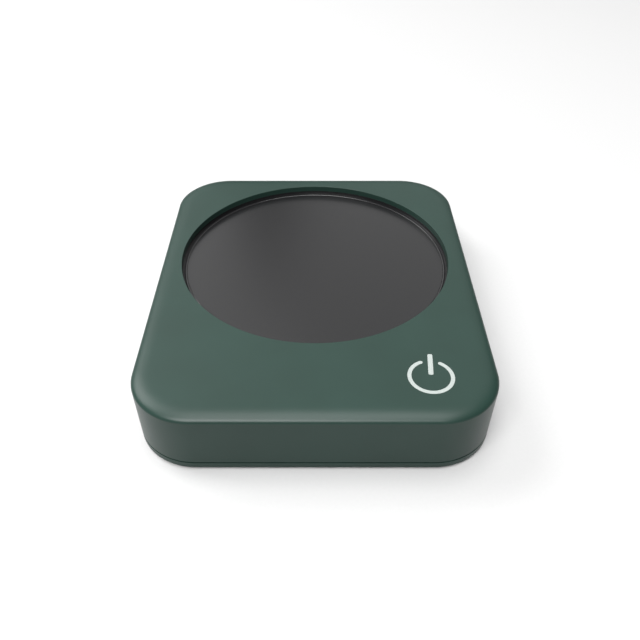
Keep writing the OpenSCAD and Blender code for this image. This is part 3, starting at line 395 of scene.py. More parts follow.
def mark_parts(low, high, grow=0.0):
    """The strokes of the key's mark: a ring that is open at the back, its two round ends, and the bar."""
    half = stroke / 2 + grow
    begin("open_ring", bpy.ops.mesh.primitive_plane_add, size=1)
    bpy.ops.transform.resize(value=(2 * half, high - low, 1))
    swing(-math.pi / 2, "X")
    bpy.ops.transform.translate(value=(mark_r, 0, (low + high) / 2))
    swing(math.radians(90 + opening))
    bpy.ops.mesh.spin(steps=ring_steps, angle=-math.radians(360 - 2 * opening), center=(0, 0, 0), axis=(0, 0, 1))
    parts = [close_up()]
    for side in (-1, 1):
        tip = math.radians(90 + side * opening)
        parts.append(turned("round_end", [(half, low), (half, high)], around(tip, mark_r), 32))
    parts.append(brick("bar", (-bar_w / 2 - grow, bar_low - grow, low),
                       (bar_w / 2 + grow, bar_high + grow, high), bar_edge))
    return [turn_about_key(part) for part in parts]


combine(shell, "DIFFERENCE", *mark_parts(roof_z - past, top_z + past, hairline))
combine(shell, "DIFFERENCE", brick("notch", (-notch_side, body_d / 2 - notch_deep, seam_z - past),
                                   (notch_side, body_d / 2 + past, inlet_high.z + inlet_gap)))
shade(shell)

# Satin ABS out of a spark-eroded mould: a green-black dye, and a grain that spreads the shine. The real grain is
# 0.1 mm, which is too fine to show, so it is drawn 0.35 mm coarse.
satin_green_abs = surface("satin_green_abs", ("#1e312b", "#20342e"), {"IOR": 1.5, "Specular IOR Level": 0.28},
                          clouds=(18 * mm, 2), spread=(0.3, 0.7), grain=(0.35 * mm, 3), fineness=0.6,
                          shine=(0.32, 0.44), relief=(0.12, 0.04 * mm))
finished(shell, satin_green_abs, "housing", "top_cover")


# ---------- Base cover ----------
# The lower half is moulded in the same ABS: a thin edge under a shadow line, a lip that locates in the top
# cover, and posts, ribs and a cradle on its floor. Four screws in deep wells hold the halves together.
board_low, board_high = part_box("control_board")
board_w = board_high.x - board_low.x
floor_z, base_edge, base_steps, hair = under_z + 2 * mm, 0.3 * mm, 6, 0.0001 * mm
shadow_h, shadow_in = 0.4 * mm, 0.6 * mm
shadow_z = seam_z - shadow_h
lip_z, lip_t, lead_in = seam_z + 1.8 * mm, 1.2 * mm, 0.4 * mm
foot_r, foot_deep, foot_in = 5.05 * mm, 0.5 * mm, 18.8 * mm
foot_at = (body_w / 2 - foot_in, body_d / 2 - foot_in)
head_well_r, head_well_z, clear_r = 2.6 * mm, under_z + 2.6 * mm, 1.4 * mm
post_r, floor_rib_h = 2.8 * mm, 0.8 * mm
post_at = [(x, board_low.y + y) for x, y in (
    (7 * mm - board_w / 2, 20 * mm), (key_at[0] - 10.3 * mm, 21 * mm), (17 * mm - board_w / 2, 4 * mm),
    (key_at[0] - 13.3 * mm, 4.5 * mm))]
rest_at = (board_w / 2 - 3 * mm, board_low.y + 22 * mm)
lane_x, lane_half, peg_r, peg_h, peg_edge = -24 * mm, 3 * mm, 1 * mm, 3 * mm, 0.2 * mm
cradle_x, cradle_t, cradle_z = notch_side + 0.75 * mm, 1.5 * mm, floor_z + 5 * mm
cradle_low_y, cradle_high_y = inlet_low.y + 1 * mm, inlet_high.y - 5 * mm
stop_y, stop_half, stop_in = inlet_low.y - inlet_gap, 1.75 * mm, 1 * mm

edge_low = leaning(shadow_z)
rounded_slab("lower_shell", (body_w - 2 * edge_low, body_d - 2 * edge_low), corner_r - edge_low,
             shadow_z - starter, shadow_z)
step(shadow_in, 0)
step(0, shadow_h)
step(corner_r - edge_low - shadow_in - lip_r, 0)
step(0, lip_z - seam_z - lead_in)
step(lead_in, lead_in)
step(lip_t - lead_in, 0)
step(0, floor_z - lip_z)
pick_underside()
step(leaning(under_z) - edge_low - hair, shadow_z - starter - under_z - base_edge)
round_off(base_edge, base_edge, base_steps)
step(land_w, 0)
base = close_up()

for (sx, sy, _), at in zip(corners, boss_at):
    combine(base, "UNION", turned("boss", [(boss_r, floor_z - sink), (boss_r, boss_z - 0.1 * mm)], at))
    combine(base, "DIFFERENCE", turned("screw_well", [
        (head_well_r, under_z - past), (head_well_r, head_well_z), (clear_r, head_well_z), (clear_r, boss_z + past)
    ], at))
    combine(base, "DIFFERENCE", turned("foot_recess", [(foot_r, under_z - past), (foot_r, under_z + foot_deep)],
                                       (sx * foot_at[0], sy * foot_at[1])))
for at in post_at:
    combine(base, "UNION", turned("post", [
        (pilot_r, floor_z + 0.1 * mm), (pilot_r, board_low.z), (post_r, board_low.z), (post_r, floor_z - sink)], at))
combine(base, "UNION", turned("rest", [(post_r, floor_z - sink), (post_r, board_low.z)], rest_at))

combine(base, "UNION", brick("pad", (-cradle_x, cradle_low_y, floor_z - sink), (cradle_x, cradle_high_y, seam_z)))
for side in (-1, 1):
    x, stop_x, rib_x = side * cradle_x, side * cradle_x - side * stop_in, side * core_x / 2
    combine(base, "UNION",
            brick("cradle_rib", (x - cradle_t / 2, cradle_low_y, floor_z - sink),
                  (x + cradle_t / 2, cradle_high_y, cradle_z)),
            brick("stop", (stop_x - stop_half, stop_y - cradle_t, floor_z - sink),
                  (stop_x + stop_half, stop_y, cradle_z)),
            brick("floor_rib", (rib_x - rib_t / 2, -core_y / 2 - 1 * mm, floor_z - sink),
                  (rib_x + rib_t / 2, core_y / 2 + 5 * mm, floor_z + floor_rib_h)))
for row in (-1, 0, 1):
    rib_y = row * core_y / 2
    combine(base, "UNION", brick("floor_rib", (-core_x / 2 - 3 * mm, rib_y - rib_t / 2, floor_z - sink),
                                 (core_x / 2 + 3 * mm, rib_y + rib_t / 2, floor_z + floor_rib_h)))
for row in (-1, 1):
    for side in (-1, 1):
        combine(base, "UNION", turned("peg", [
            (peg_r, floor_z - sink), (peg_r, floor_z + peg_h - peg_edge), (peg_r - peg_edge, floor_z + peg_h)
        ], (lane_x + side * lane_half, 2 * mm + row * core_y / 2), 32))
combine(base, "DIFFERENCE", brick("notch", (-notch_side, body_d / 2 - notch_deep, seam_z),
                                  (notch_side, body_d / 2 + past, seam_z + 4 * mm)))
shade(base)
finished(base, satin_green_abs, "housing", "base_cover")


# ---------- Warming plate ----------
# A disc of toughened glass, screen-printed black on the back and etched to a satin on top. Its rim is ground to a
# small bevel, and it is bedded in silicone on the ring's seat.
bevel, back_edge, face_z = 0.5 * mm, 0.2 * mm, plate_high.z
plate = turned("glass_plate", [
    (plate_r - back_edge, plate_low.z), (plate_r, plate_low.z + back_edge), (plate_r, face_z - bevel),
    (plate_r - 0.08 * mm, face_z - bevel + 0.05 * mm), (plate_r - bevel + 0.08 * mm, face_z - 0.05 * mm),
    (plate_r - bevel - 0.05 * mm, face_z), (plate_r - 2 * mm, face_z)
], well_at, well_sides)
shade(plate, 20)
# The etched top scatters a little, in spots of 0.4 mm
etched_black_glass = surface("etched_black_glass", "#171718", {"IOR": 1.52, "Specular IOR Level": 0.42},
                             grain=(0.4 * mm, 2), shine=(0.22, 0.28), relief=(0.05, 0.02 * mm))
finished(plate, etched_black_glass, "black_glass", "warming_plate")


# ---------- Plate ring ----------
# A ring moulded in black heat-resistant PBT, screwed by four ears to the top cover. It carries the plate on its
# inner seat, shows as a narrow land round it, and a thin rounded lip laps over the glass's ground rim.
pocket_r, land_z = plate_r + 0.2 * mm, face_z - 0.2 * mm
seat_r, seat_z = pocket_r - 3.25 * mm, plate_low.z - 0.2 * mm
ring_r, ring_z = pocket_r + 2.25 * mm, seat_z - 1.5 * mm
flange_r, flange_z = mouth_r + 3.2 * mm, roof_z - 1.6 * mm
groove_r, groove_w, groove_z = mouth_r + 0.7 * mm, 1.8 * mm, roof_z - 0.8 * mm
lip_crest, lip_w, lip_h = pocket_r - 0.28 * mm, 0.33 * mm, 0.14 * mm
ear_t, ear_web_half, ear_web_in = 2.5 * mm, 2.9 * mm, 1.1 * mm
post_run, clamp_post_r, post_low = seat_r + 2 * mm, 2.5 * mm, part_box("insulation_pad")[0].z
quarters = [math.radians(a) for a in (45, 135, 225, 315)]
ring = turned("seat_ring", [
    (seat_r, ring_z), (ring_r, ring_z), (ring_r, flange_z), (flange_r, flange_z), (flange_r, roof_z),
    (groove_r + groove_w, roof_z), (groove_r + groove_w, groove_z), (groove_r, groove_z), (groove_r, roof_z),
    (mouth_r, roof_z), (mouth_r, land_z), (pocket_r + 0.3 * mm, land_z), (pocket_r + 0.08 * mm, land_z + 0.1 * mm)
] + [
    (lip_crest - lip_w * math.sin(a), face_z + lip_h * math.cos(a)) for a in map(math.radians, range(-30, 91, 15))
] + [
    (lip_crest - 0.1 * mm, face_z - 0.08 * mm), (pocket_r, land_z), (pocket_r, seat_z), (seat_r, seat_z)
], well_at, well_sides, closed=True)
for turn in quarters:
    ear_at, post_place = around(turn, ear_run, well_at), around(turn, post_run, well_at)
    web = brick("ear_web", (ring_r - ear_web_in, -ear_web_half, ring_z), (ear_run, ear_web_half, ring_z + ear_t),
                turn=turn)
    combine(ring, "UNION", turned("ear", [(boss_r, ring_z), (boss_r, ring_z + ear_t)], ear_at),
            shift(web, (*well_at, 0)),
            turned("clamp_post", [(clamp_post_r, post_low), (clamp_post_r, ring_z + sink)], post_place))
    combine(ring, "DIFFERENCE",
            turned("ear_hole", [(clear_r, ring_z - past), (clear_r, ring_z + ear_t + 0.3 * mm)], ear_at),
            turned("post_hole", [(pilot_r, post_low - past), (pilot_r, ring_z + 1 * mm)], post_place))
shade(ring)
# Glass-filled PBT, which the mould leaves glossy with a fine unevenness
black_pbt = surface("black_glass_filled_pbt", "#1d1d1e", {"IOR": 1.57}, grain=(0.3 * mm, 3), shine=(0.2, 0.28),
                    relief=(0.1, 0.03 * mm))
finished(ring, black_pbt, "black_plastic", "plate_ring")


# ---------- Key's light guide ----------
# The white mark is the top of a polycarbonate light guide that is pressed up into the cover from below, flush
# with its face. A disc under the wall spreads the light of one lamp to the whole mark.
guide_r, guide_z, guide_edge, tab_out = 7.8 * mm, roof_z - 1 * mm, 0.15 * mm, 0.8 * mm
strokes = mark_parts(roof_z - 0.2 * mm, top_z)
guide = turn_about_key(turned("light_guide", [
    (guide_r, guide_z), (guide_r, roof_z - guide_edge), (guide_r - guide_edge, roof_z)], sides=96))
tab = turn_about_key(brick("tab", (-bar_w / 2 - tab_out, 0, guide_z),
                           (bar_w / 2 + tab_out, bar_high + tab_out, roof_z)))
combine(guide, "UNION", tab, *strokes)
shade(guide)
# Polycarbonate with a diffusing filler, through which light wanders about a millimetre
milky_polycarbonate = surface("milky_polycarbonate", "#949b98", {
    "IOR": 1.58, "Subsurface Weight": 0.15, "Subsurface Radius": (1 * mm, 1 * mm, 1 * mm), "Subsurface Scale": 0.5
}, grain=(0.5 * mm, 2), shine=(0.4, 0.5))
finished(guide, milky_polycarbonate, "light_guide", "power_symbol")


# ---------- Rubber feet ----------
# Four self-adhesive feet of black rubber, pressed into round recesses of the base. Each has a rounded lower edge
# and a shallow dish in the middle, which holds on a smooth table.
foot_body_r, foot_top, foot_edge = 5 * mm, under_z + foot_deep, 0.4 * mm
foot_outline = [(1 * mm, 0.2 * mm), (2.6 * mm, 0.12 * mm), (3.2 * mm, 0.0)] + [
    (foot_body_r - foot_edge * (1 - math.sin(a)), foot_edge * (1 - math.cos(a)))
    for a in map(math.radians, range(0, 91, 15))
] + [(foot_body_r, foot_top - 0.1 * mm), (foot_body_r - 0.1 * mm, foot_top)]
# Moulded rubber, matt, with a little dust
black_rubber = surface("black_rubber", "#191919", {"IOR": 1.52}, grain=(0.6 * mm, 4), shine=(0.65, 0.85))
for row, sy in (("front", -1), ("back", 1)):
    for column, sx in (("left", -1), ("right", 1)):
        foot = turned(f"rubber_foot_{row}_{column}", foot_outline, (sx * foot_at[0], sy * foot_at[1]), 64)
        shade(foot)
        finished(foot, black_rubber, "black_rubber", f"foot_{row}_{column}")


# ---------- Power inlet ----------
# A standard 5.5 by 2.1 mm barrel inlet with a body of black PBT. Its nickel-plated centre pin is riveted through
# the bore's back wall, and a sprung contact lies in a slot under the bore. The base's cradle and the notch in the
# top cover hold it.
pin_low, pin_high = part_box("socket_pin")
contact_low, contact_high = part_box("socket_contact")
bore_r, bore_z, bore_edge = 3.15 * mm, (inlet_low.z + inlet_high.z) / 2, 0.5 * mm
bore_floor_y = inlet_high.y - 9.5 * mm
collar_r, pin_r = 1.25 * mm, 1.0 * mm
pin_way_r, slot_x = collar_r + 0.05 * mm, contact_high.x + 0.1 * mm
lay_back = {"place": (0, 0, bore_z), "turn": -math.pi / 2, "axis": "X"}


def ease(piece, width):
    """Rounds the sharp edges of a piece."""
    apply(piece, "BEVEL", width=width, segments=2, limit_method="ANGLE", angle_limit=math.radians(50))


def dress(name, material, soft=0.0):
    """Gives a CAD node its real material. Where it wants rounded edges, they are only a modifier."""
    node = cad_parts[name]
    node.data.materials.clear()
    node.data.materials.append(material)
    if soft:
        node.modifiers.new("weld", "WELD").merge_threshold = 0.001 * mm
        edges = node.modifiers.new("bevel", "BEVEL")
        edges.width, edges.segments = soft, 2
        edges.limit_method, edges.angle_limit = "ANGLE", math.radians(40)


inlet = shift(brick("inlet_body", (inlet_low.x, -inlet_high.z, inlet_low.y),
                    (inlet_high.x, -inlet_low.z, inlet_high.y), 0.7 * mm), turn=-math.pi / 2, axis="X")
bore = turned("bore", [(bore_r, bore_floor_y), (bore_r, inlet_high.y - bore_edge),
                       (bore_r + bore_edge, inlet_high.y), (bore_r + bore_edge, inlet_high.y + past)], sides=64)
pin_way = turned("pin_way", [(pin_way_r, inlet_low.y - past), (pin_way_r, bore_floor_y + past)])
combine(inlet, "DIFFERENCE", shift(bore, **lay_back), shift(pin_way, **lay_back),
        brick("contact_slot", (-slot_x, inlet_low.y - past, bore_z - bore_r - 1 * mm),
              (slot_x, inlet_high.y - 1.5 * mm, bore_z - bore_r + 0.5 * mm)))
ease(inlet, 0.1 * mm)
shade(inlet)
finished(inlet, black_pbt, "black_plastic", "dc_socket")

centre_pin = shift(turned("centre_pin", [
    (collar_r - 0.2 * mm, pin_low.y), (collar_r, pin_low.y + 0.2 * mm), (collar_r, bore_floor_y),
    (pin_r, bore_floor_y), (pin_r, pin_high.y - 0.4 * mm), (0.93 * pin_r, pin_high.y - 0.2 * mm),
    (0.75 * pin_r, pin_high.y - 0.06 * mm), (0.5 * pin_r, pin_high.y)
]), **lay_back)
shade(centre_pin, 40)
# Drawn brass under dull nickel: fine drawing lines along the pin, and a warm grey metal
nickel_plated_brass = surface("nickel_plated_brass", "#cbc6b8", {"Metallic": 1.0},
                              grain=(0.1 * mm, 3 * mm, 0.1 * mm, 2), shine=(0.18, 0.34))
finished(centre_pin, nickel_plated_brass, "plated_brass", "socket_pin")
dress("socket_contact", nickel_plated_brass, 0.06 * mm)


# ---------- Screws ----------
# Sixteen self-tapping pan-head screws of zinc-plated steel: four in deep wells join the covers from below, and
# the others hold the ring's ears, the clamp plate and the control board. Rolled threads, pressed cross recesses.
thread_r, thread_core, thread_pitch, thread_steps = 1.25 * mm, 0.95 * mm, 0.9 * mm, 20
head_r, head_h, head_edge = 2.3 * mm, 1.4 * mm, 0.08 * mm
recess_half, recess_reach, recess_deep = 0.25 * mm, 0.55 * head_r, 0.7 * mm
clamp_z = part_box("clamp_screws")[0].z + head_h


def join(name, *parts):
    """Joins pieces of one material into a single piece."""
    take(*parts)
    bpy.ops.object.join()
    bpy.context.object.name = name
    return bpy.context.object


def copies(piece, name, places, turns=()):
    """Copies a piece, each copy with its own mesh, to some places, and joins the copies."""
    parts = []
    for place, turn in zip(places, turns or [0.0] * len(places)):
        part = piece.copy()
        part.data = piece.data.copy()
        bpy.context.scene.collection.objects.link(part)
        parts.append(shift(part, place, turn))
    bpy.data.objects.remove(piece)
    return join(name, *parts)


def tapping_screw(length):
    """A screw that stands on its head: the head's seat is at z = 0 and the point is up."""
    dome = [(share * head_r, rise * mm - head_h)
            for share, rise in ((0.5, 0), (0.68, 0.08), (0.85, 0.28), (0.95, 0.55), (1, 0.9))]
    screw = turned("screw", dome + [
        (head_r, -head_edge), (head_r - head_edge, 0), (thread_core, 0), (thread_core, length - thread_r),
        (0.4 * thread_core, length)], sides=32)
    half = (thread_r - thread_core + 0.08 * mm) / 1.5
    begin("thread", bpy.ops.mesh.primitive_circle_add, by_edges=True, vertices=3, radius=half, fill_type="NOTHING")
    swing(-math.pi / 2)
    swing(-math.pi / 2, "X")
    bpy.ops.transform.translate(value=(thread_r - half, 0, 0.3 * mm))
    bpy.ops.object.mode_set(mode="OBJECT")
    thread = bpy.context.object
    apply(thread, "SCREW", axis="Z", screw_offset=thread_pitch, iterations=math.ceil(length / thread_pitch),
          steps=thread_steps, render_steps=thread_steps)
    bpy.ops.object.mode_set(mode="EDIT")
    bpy.ops.mesh.select_all(action="SELECT")
    bpy.ops.mesh.fill_holes(sides=3)
    close_up()
    combine(thread, "INTERSECT", turned("room", [
        (thread_r + 0.1 * mm, 0.1 * mm), (thread_r + 0.1 * mm, length - thread_r),
        (0.5 * thread_r, length - 0.2 * mm)], sides=32))
    combine(screw, "UNION", thread)
    for turn in (0, math.pi / 2):
        combine(screw, "DIFFERENCE", brick("recess", (-recess_reach, -recess_half, -head_h - past),
                                           (recess_reach, recess_half, recess_deep - head_h), turn=turn))
    combine(screw, "DIFFERENCE", turned("recess", [
        (0.3 * head_r, -head_h - 0.5 * mm), (0.28 * head_r, -head_h),
        (0.1 * head_r, recess_deep + 0.2 * mm - head_h)], sides=16))
    shade(screw)
    return screw


# Zinc plating with a clear blue passivation: a pale metal with a faint blue and yellow bloom, a little worn
zinc_plated_steel = surface("zinc_plated_steel", ("#b4bac3", "#c4c2b8"), {"Metallic": 1.0}, clouds=(4 * mm, 3),
                            spread=(0.35, 0.65), grain=(0.2 * mm, 2), shine=(0.24, 0.42))
board_screw = shift(tapping_screw(board_high.z - floor_z - 1 * mm), turn=math.pi, axis="X")
for node, screw, places in (
        ("cover_screws", tapping_screw(boss_z - head_well_z + 6.5 * mm), [(*at, head_well_z) for at in boss_at]),
        ("ring_screws", tapping_screw(ear_t + 3 * mm), [(*around(a, ear_run, well_at), ring_z) for a in quarters]),
        ("clamp_screws", tapping_screw(ring_z - clamp_z + 0.75 * mm),
         [(*around(a, post_run, well_at), clamp_z) for a in quarters]),
        ("board_screws", board_screw, [(*at, board_high.z) for at in post_at])):
    screws = copies(screw, node.replace("screws", "screw_set"), places, quarters)
    finished(screws, zinc_plated_steel, "steel", node)


# ---------- Gasket and bond ----------
# A moulded ring of grey silicone in the plate ring's groove, pressed against the cover's roof, and the bead of
# translucent silicone that the glass is bedded on.
bond_low, bond_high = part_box("plate_bond")
gasket_in, gasket_out, gasket_edge, seal_sides = groove_r, groove_r + groove_w, 0.12 * mm, 192
bond_in, bond_out, bond_edge, bond_z = seat_r + 0.5 * mm, bond_high.x, 0.06 * mm, (bond_low.z + bond_high.z) / 2
gasket = turned("silicone_gasket", [
    (gasket_in + gasket_edge, groove_z), (gasket_out - gasket_edge, groove_z), (gasket_out, groove_z + gasket_edge),
    (gasket_out, roof_z - gasket_edge), (gasket_out - gasket_edge, roof_z), (gasket_in + gasket_edge, roof_z),
    (gasket_in, roof_z - gasket_edge), (gasket_in, groove_z + gasket_edge)
], well_at, seal_sides, closed=True)
shade(gasket, 50)
# Moulded silicone, matt, with a little dust
grey_silicone = surface("grey_silicone_rubber", "#626364", {"IOR": 1.41}, grain=(0.8 * mm, 3), shine=(0.5, 0.68))
finished(gasket, grey_silicone, "grey_rubber", "ring_gasket")

bead = turned("silicone_bead", [
    (bond_in + bond_edge, bond_low.z), (bond_out - bond_edge, bond_low.z), (bond_out, bond_z),
    (bond_out - bond_edge, bond_high.z), (bond_in + bond_edge, bond_high.z), (bond_in, bond_z)
], well_at, seal_sides, closed=True)
shade(bead, 60)
# Cured silicone from a nozzle, glossy and milky clear
clear_silicone = surface("translucent_silicone", "#cbcbc6", {"IOR": 1.41, "Transmission Weight": 0.4},
                         grain=(2 * mm, 2), shine=(0.2, 0.35))
finished(bead, clear_silicone, "clear_silicone", "plate_bond")


# ---------- Heater ----------
# A stack that the clamp plate presses up under the glass: an aluminium spreader, a polyimide film with an etched
# foil track, and a felt pad that keeps the heat off the electronics.
def layer(name, node, edge, hole=0.0):
    """A flat round layer of the stack as thick and as wide as its CAD node, with rounded edges."""
    low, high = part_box(node)
    rim = [(high.x - edge, low.z), (high.x, low.z + edge), (high.x, high.z - edge), (high.x - edge, high.z)]
    if hole:
        rim = [(hole, low.z), *rim, (hole, high.z)]
    disc = turned(name, rim, well_at, seal_sides, closed=bool(hole))
    shade(disc)
    return disc


# Rolled sheet, blanked and deburred: the rolling leaves fine straight lines, drawn here 0.15 mm apart
rolled_aluminium = surface("rolled_aluminium", "#c9cbcd", {"Metallic": 1.0},
                           grain=(20 * mm, 0.15 * mm, 0.15 * mm, 3), shine=(0.28, 0.46), relief=(0.15, 0.02 * mm))
finished(layer("heat_spreader_disc", "heat_spreader", 0.2 * mm), rolled_aluminium, "aluminium", "heat_spreader")

# Laminated polyimide: clear amber and glossy, a little cloudy where its adhesive is thicker
amber_polyimide = surface("amber_polyimide", ("#a85a14", "#c67a26"), {"IOR": 1.7}, clouds=(6 * mm, 3),
                          grain=(6 * mm, 3), shine=(0.16, 0.28))
finished(layer("polyimide_film", "heater_film", 0.05 * mm, 3.5 * mm), amber_polyimide, "polyimide", "heater_film")

# Etched copper-nickel foil, dull from the etching bath
etched_foil = surface("etched_copper_nickel_foil", ("#b07a4e", "#cda07c"), {"Metallic": 1.0}, clouds=(3 * mm, 4),
                      grain=(3 * mm, 4), shine=(0.3, 0.5))
dress("heater_track", etched_foil)

# Needled ceramic-fibre felt: off-white, quite matt, with fibres about 0.5 mm apart at the surface
ceramic_felt = new_material("needled_ceramic_felt")
felt_place = add(ceramic_felt, "ShaderNodeTexCoord")
felt_fibre = add(ceramic_felt, "ShaderNodeTexVoronoi", {"Scale": 1 / (0.5 * mm), "Randomness": 1.0},
                 {"Vector": felt_place.outputs["Object"]})
felt_mat = add(ceramic_felt, "ShaderNodeTexNoise", {"Scale": 1 / (3 * mm), "Detail": 6.0, "Roughness": 0.7},
               {"Vector": felt_place.outputs["Object"]})
felt_tone = add(ceramic_felt, "ShaderNodeValToRGB", links={"Fac": felt_mat.outputs["Fac"]})
felt_tone.color_ramp.elements[0].color = linear("#d2c9b6")
felt_tone.color_ramp.elements[1].color = linear("#efe9dc")
felt_bump = add(ceramic_felt, "ShaderNodeBump", {"Strength": 0.6, "Distance": 0.2 * mm},
                {"Height": felt_fibre.outputs["Distance"]})
felt_shader = add(ceramic_felt, "ShaderNodeBsdfPrincipled",
                  {"Roughness": 0.95, "Sheen Weight": 0.2, "Specular IOR Level": 0.2},
                  {"Base Color": felt_tone.outputs["Color"], "Normal": felt_bump.outputs["Normal"]})
add(ceramic_felt, "ShaderNodeOutputMaterial", links={"Surface": felt_shader.outputs["BSDF"]})
dress("insulation_pad", ceramic_felt, 0.3 * mm)
dress("heater_clamp", zinc_plated_steel)
dress("thermistor_clip", zinc_plated_steel, 0.08 * mm)
dress("fuse_clip", zinc_plated_steel, 0.08 * mm)

# The fuse is a glazed ceramic tube on tinned leads, strapped to the clamp plate, and the thermistor an epoxy can
fuse_low, fuse_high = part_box("thermal_fuse")
fuse_y, fuse_z = (fuse_low.y + fuse_high.y) / 2, (fuse_low.z + fuse_high.z) / 2
fuse_half, fuse_r, fuse_edge, fuse_lead_r = 4.5 * mm, 2 * mm, 0.15 * mm, 0.5 * mm
fuse_tip = fuse_half + 1.2 * mm
fuse_end = [(fuse_lead_r + 0.05 * mm, fuse_tip), (0.5 * fuse_r, fuse_tip - 0.1 * mm),
            (0.9 * fuse_r, fuse_half + fuse_edge), (fuse_r, fuse_half - fuse_edge)]
fuse = turned("fuse_body", [(radius, -along) for radius, along in fuse_end] + fuse_end[::-1])
lead_from = fuse_tip - 0.1 * mm
leads = join("fuse_leads", turned("lead", [(fuse_lead_r, lead_from), (fuse_lead_r, fuse_high.x)], sides=24),
             turned("lead", [(fuse_lead_r, fuse_low.x), (fuse_lead_r, -lead_from)], sides=24))
for part in (fuse, leads):
    shift(part, (0, fuse_y, fuse_z), math.pi / 2, "Y")
    shade(part, 50)
# Ceramic under a cream glaze, and copper with a bright tin coat that is a little uneven
glazed_ceramic = surface("glazed_ceramic", ("#d3c69c", "#e2d8b8"), {"IOR": 1.52, "Roughness": 0.15},
                         clouds=(1.5 * mm, 3))
tinned_copper = surface("tinned_copper", "#cfd0cf", {"Metallic": 1.0}, grain=(0.4 * mm, 3), shine=(0.25, 0.45))
finished(fuse, glazed_ceramic, "fuse_ceramic", "thermal_fuse")
finished(leads, tinned_copper, "steel", "thermal_fuse")

# Moulded epoxy with a mineral filler, matt and finely rough
black_epoxy = surface("black_epoxy", "#1b1b1c", {"IOR": 1.55}, grain=(0.15 * mm, 2), shine=(0.4, 0.6),
                      relief=(0.2, 0.02 * mm))
dress("thermistor", black_epoxy, 0.1 * mm)


# ---------- Control board ----------
# A single-sided glass-epoxy board on five posts under the front of the cover. It carries the controller, the
# heater's transistor, a capacitor, chip resistors and the key's lamp, and three headers along its back edge.
board_z = board_high.z

# Green solder mask over copper tracks, which show as paler lines 1.3 mm apart. The routed edge is bare epoxy
masked_board = new_material("solder_masked_glass_epoxy")
mask_place = add(masked_board, "ShaderNodeTexCoord")
mask_tracks = add(masked_board, "ShaderNodeTexBrick", {
    "Scale": 1 / (1.3 * mm), "Mortar Size": 0.12, "Mortar Smooth": 0.3, "Brick Width": 5.0, "Row Height": 1.0,
    "Color1": linear("#0f4a2b"), "Color2": linear("#115030"), "Mortar": linear("#1f6b3f")
}, {"Vector": mask_place.outputs["Object"]})
mask_sides = add(masked_board, "ShaderNodeSeparateXYZ", links={"Vector": mask_place.outputs["Normal"]})
mask_flat = add(masked_board, "ShaderNodeMath", {"operation": "ABSOLUTE"}, {0: mask_sides.outputs["Z"]})
mask_edge = add(masked_board, "ShaderNodeMath", {"operation": "LESS_THAN", 1: 0.5}, {0: mask_flat.outputs["Value"]})
mask_tone = add(masked_board, "ShaderNodeMix", {"data_type": "RGBA", 7: linear("#a3a06a")},
                {0: mask_edge.outputs["Value"], 6: mask_tracks.outputs["Color"]})
mask_bump = add(masked_board, "ShaderNodeBump", {"Strength": 0.2, "Distance": 0.03 * mm},
                {"Height": mask_tracks.outputs["Fac"]})
mask_shader = add(masked_board, "ShaderNodeBsdfPrincipled", {"IOR": 1.55, "Roughness": 0.22},
                  {"Base Color": mask_tone.outputs[2], "Normal": mask_bump.outputs["Normal"]})
add(masked_board, "ShaderNodeOutputMaterial", links={"Surface": mask_shader.outputs["BSDF"]})
dress("control_board", masked_board)


def in_mm(*numbers):
    """A place or a size that is given in millimetres."""
    return [number * mm for number in numbers]


def on_board(x, y):
    """A place on the board in millimetres, from the middle of its front edge."""
    return (x * mm, board_low.y + y * mm, board_z)


chip_x, chip_y, chip_low, chip_top = in_mm(5, 1.95, 0.15, 1.55)
dimple_r, dimple_deep, dimple_in = in_mm(0.35, 0.1, 0.8)
leg_half, leg_t, leg_out, leg_rise, leg_pitch = in_mm(0.21, 0.2, 1.1, 0.85, 1.27)
legs_a_side, leg_from, chip_place = 8, chip_y - 0.01 * mm, on_board(-6, 8.5)
chip = brick("chip_body", (-chip_x, -chip_y, chip_low), (chip_x, chip_y, chip_top), 0.05 * mm)
combine(chip, "DIFFERENCE", turned("dimple", [(dimple_r, chip_top - dimple_deep), (0.4 * mm, chip_top + 0.5 * mm)],
                                   (dimple_in - chip_x, dimple_in - chip_y), 24))
ease(chip, 0.08 * mm)
shade(shift(chip, chip_place))
finished(chip, black_epoxy, "black_plastic", "microcontroller")
leg = brick("leg", (-leg_half, leg_from, 0), (leg_half, chip_y + leg_out, leg_t))
combine(leg, "UNION", brick("riser", (-leg_half, leg_from, 0),
                            (leg_half, leg_from + 0.4 * (chip_y + leg_out - leg_from), leg_rise)))
leg_row = [(chip_place[0] + (k - (legs_a_side - 1) / 2) * leg_pitch, chip_place[1], board_z)
           for k in range(legs_a_side)]
chip_legs = copies(leg, "chip_legs", 2 * leg_row, [0.0] * legs_a_side + [math.pi] * legs_a_side)
finished(chip_legs, tinned_copper, "steel", "microcontroller")

# The transistor's moulded body, and the tinned tab and the two legs that it is soldered by
power_place = on_board(-17, 8.5)
power = brick("transistor_body", in_mm(-3.25, -3.05, 0.49), in_mm(3.25, 3.05, 2.29), 0.1 * mm)
ease(power, 0.12 * mm)
shade(shift(power, power_place))
finished(power, black_epoxy, "black_plastic", "power_transistor")
metal = [brick("transistor_tab", in_mm(-2.7, -3.35, 0), in_mm(2.7, 6.15, 0.5), 0.3 * mm)]
for x in (-2.275, 2.275):
    metal.append(brick("leg", in_mm(x - 0.4, -6.04, 0.5), in_mm(x + 0.4, -3.04, 1), 0.05 * mm))
finished(shift(join("transistor_metal", *metal), power_place), tinned_copper, "steel", "power_transistor")

